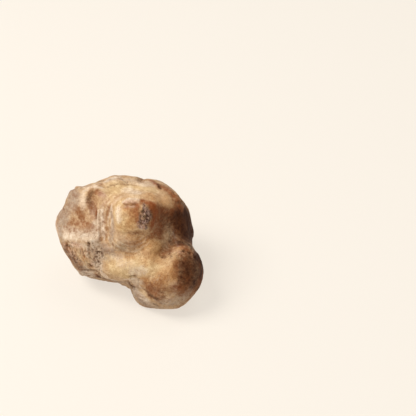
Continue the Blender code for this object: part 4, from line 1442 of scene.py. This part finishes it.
def spread(value, low_end, high_end):
    """Stretches a value so that low_end becomes 0 and high_end becomes 1."""
    node = tree.nodes.new("ShaderNodeMapRange")
    node.interpolation_type = "SMOOTHSTEP"
    node.inputs["From Min"].default_value = low_end
    node.inputs["From Max"].default_value = high_end
    tree.links.new(value, node.inputs["Value"])
    return node.outputs["Result"]


def add_ragged(mask, pattern, raggedness):
    """The ragged-edge group, placed in the material with its own values."""
    node = tree.nodes.new("ShaderNodeGroup")
    node.node_tree = ragged
    tree.links.new(mask, node.inputs["Mask"])
    tree.links.new(pattern, node.inputs["Pattern"])
    node.inputs["Raggedness"].default_value = raggedness
    return node.outputs["Mask"]


print("shader:", shader.name)

# %% [markdown]
# ### Colour
#
# The pigments lie over the tan in the order of the list, so a later one covers an earlier one. Each has its
# colour, the size of the flecks at its edges, and how ragged these edges are.

# %% Mix the pigments
TAN_LIGHT = screen_colour(226, 195, 156)
TAN_DARK = screen_colour(204, 169, 128)
TAN_SIZE = 6.0
# Pigment, colour, size of its flecks in mm, and raggedness.
PIGMENTS = (
    ("straw", screen_colour(234, 205, 156), 2.0, 1.0),
    ("ochre", screen_colour(206, 158, 106), 1.8, 1.4),
    ("cream", screen_colour(246, 228, 204), 0.8, 2.0),
    ("rose", screen_colour(212, 174, 150), 1.0, 1.6),
    ("grey", screen_colour(182, 163, 145), 1.0, 1.6),
    ("brown", screen_colour(148, 101, 66), 1.1, 2.0),
    ("rust", screen_colour(150, 84, 44), 1.3, 1.8),
    ("umber", screen_colour(70, 36, 13), 1.2, 1.8),
    ("soil", screen_colour(104, 72, 48), 0.6, 2.4),
)
CRUST_LIGHT = screen_colour(190, 160, 146)
CRUST_DARK = screen_colour(84, 56, 50)
CRUMB_SIZE, CRUST_FLECK, CRUST_RAGGEDNESS = 0.7, 0.9, 1.8

colour = add_mix(spread(add_noise(TAN_SIZE, 4.0), 0.35, 0.65), TAN_LIGHT, TAN_DARK)
for name, tone, size, raggedness in PIGMENTS:
    colour = add_mix(add_ragged(read(name), add_noise(size, 4.0, 0.65), raggedness), colour, tone)
crumbs = spread(add_noise(CRUMB_SIZE, 4.0, 0.7), 0.40, 0.60)
crust = add_mix(crumbs, CRUST_DARK, CRUST_LIGHT)
crust_mask = add_ragged(read("crust"), add_noise(CRUST_FLECK, 3.0), CRUST_RAGGEDNESS)
colour = add_mix(crust_mask, colour, crust)
print("pigments mixed:", len(PIGMENTS) + 1)

# %% [markdown]
# ### Mottling and pores
#
# Looked at closely, no patch of skin is even. Two noises darken it a little, one in mottles and one in fine
# flecks. Pores are the dark middles of the cells of a Voronoi pattern, in those places where a noise allows
# them.

# %% Mottle the skin
MOTTLE_SIZE, MOTTLE_DARK = 1.6, screen_colour(230, 219, 210)
FLECK_SIZE, FLECK_DARK = 0.45, screen_colour(214, 198, 186)
PORE_GAP, PORE_AREA = 1.9, 3.0
PORE_STRENGTH, PORE_DARK = 0.7, screen_colour(120, 84, 58)

mottles = add_noise(MOTTLE_SIZE, 4.0, 0.6)
flecks = add_noise(FLECK_SIZE, 3.0, 0.6)
colour = add_mix(spread(mottles, 0.35, 0.60), colour, add_mix(1.0, colour, MOTTLE_DARK, "MULTIPLY"))
colour = add_mix(spread(flecks, 0.52, 0.68), colour, add_mix(1.0, colour, FLECK_DARK, "MULTIPLY"))
pores = tree.nodes.new("ShaderNodeTexVoronoi")
pores.inputs["Scale"].default_value = 1 / (PORE_GAP * MM)
tree.links.new(here, pores.inputs["Vector"])
pore_chance = spread(add_noise(PORE_AREA, 3.0, 0.7), 0.48, 0.62)
pore_mask = add_math(tree, "MULTIPLY", spread(pores.outputs["Distance"], 0.16, 0.05), pore_chance)
colour = add_mix(add_math(tree, "MULTIPLY", pore_mask, PORE_STRENGTH), colour, PORE_DARK)
tree.links.new(colour, shader.inputs["Base Color"])
print("pores every", PORE_GAP, "mm")

# %% [markdown]
# ### Roughness and grain
#
# The skin is dry, and driest where it is rough. The fine flecks change its roughness a little too. A bump
# adds a grain that is finer than the mesh, stronger where the skin is rough.

# %% Set the roughness and the grain
SMOOTH_PART, ROUGH_PART = 0.60, 0.86
FLECK_ROUGHNESS = 0.16
GRAIN_SIZE, GRAIN_HEIGHT, GRAIN_STRENGTH = 0.5, 0.10 * MM, 0.8
FLECK_GRAIN = 0.3

dryness = add_math(tree, "MULTIPLY_ADD", read("rough"), ROUGH_PART - SMOOTH_PART, SMOOTH_PART)
dryness = add_math(tree, "SUBTRACT", dryness, FLECK_ROUGHNESS / 2)
dryness = add_math(tree, "MULTIPLY_ADD", flecks, FLECK_ROUGHNESS, dryness)
tree.links.new(dryness, shader.inputs["Roughness"])
fleck_grain = add_math(tree, "MULTIPLY", flecks, FLECK_GRAIN)
grain = add_math(tree, "MULTIPLY_ADD", read("rough"), add_noise(GRAIN_SIZE, 4.0, 0.7), fleck_grain)
bump = tree.nodes.new("ShaderNodeBump")
bump.inputs["Distance"].default_value = GRAIN_HEIGHT
bump.inputs["Strength"].default_value = GRAIN_STRENGTH
tree.links.new(grain, bump.inputs["Height"])
tree.links.new(bump.outputs["Normal"], shader.inputs["Normal"])
skin.data.materials.append(paint)
print("material nodes:", len(tree.nodes))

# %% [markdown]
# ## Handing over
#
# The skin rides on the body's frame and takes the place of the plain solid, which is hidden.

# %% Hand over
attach(skin, "root")
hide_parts("truffle")
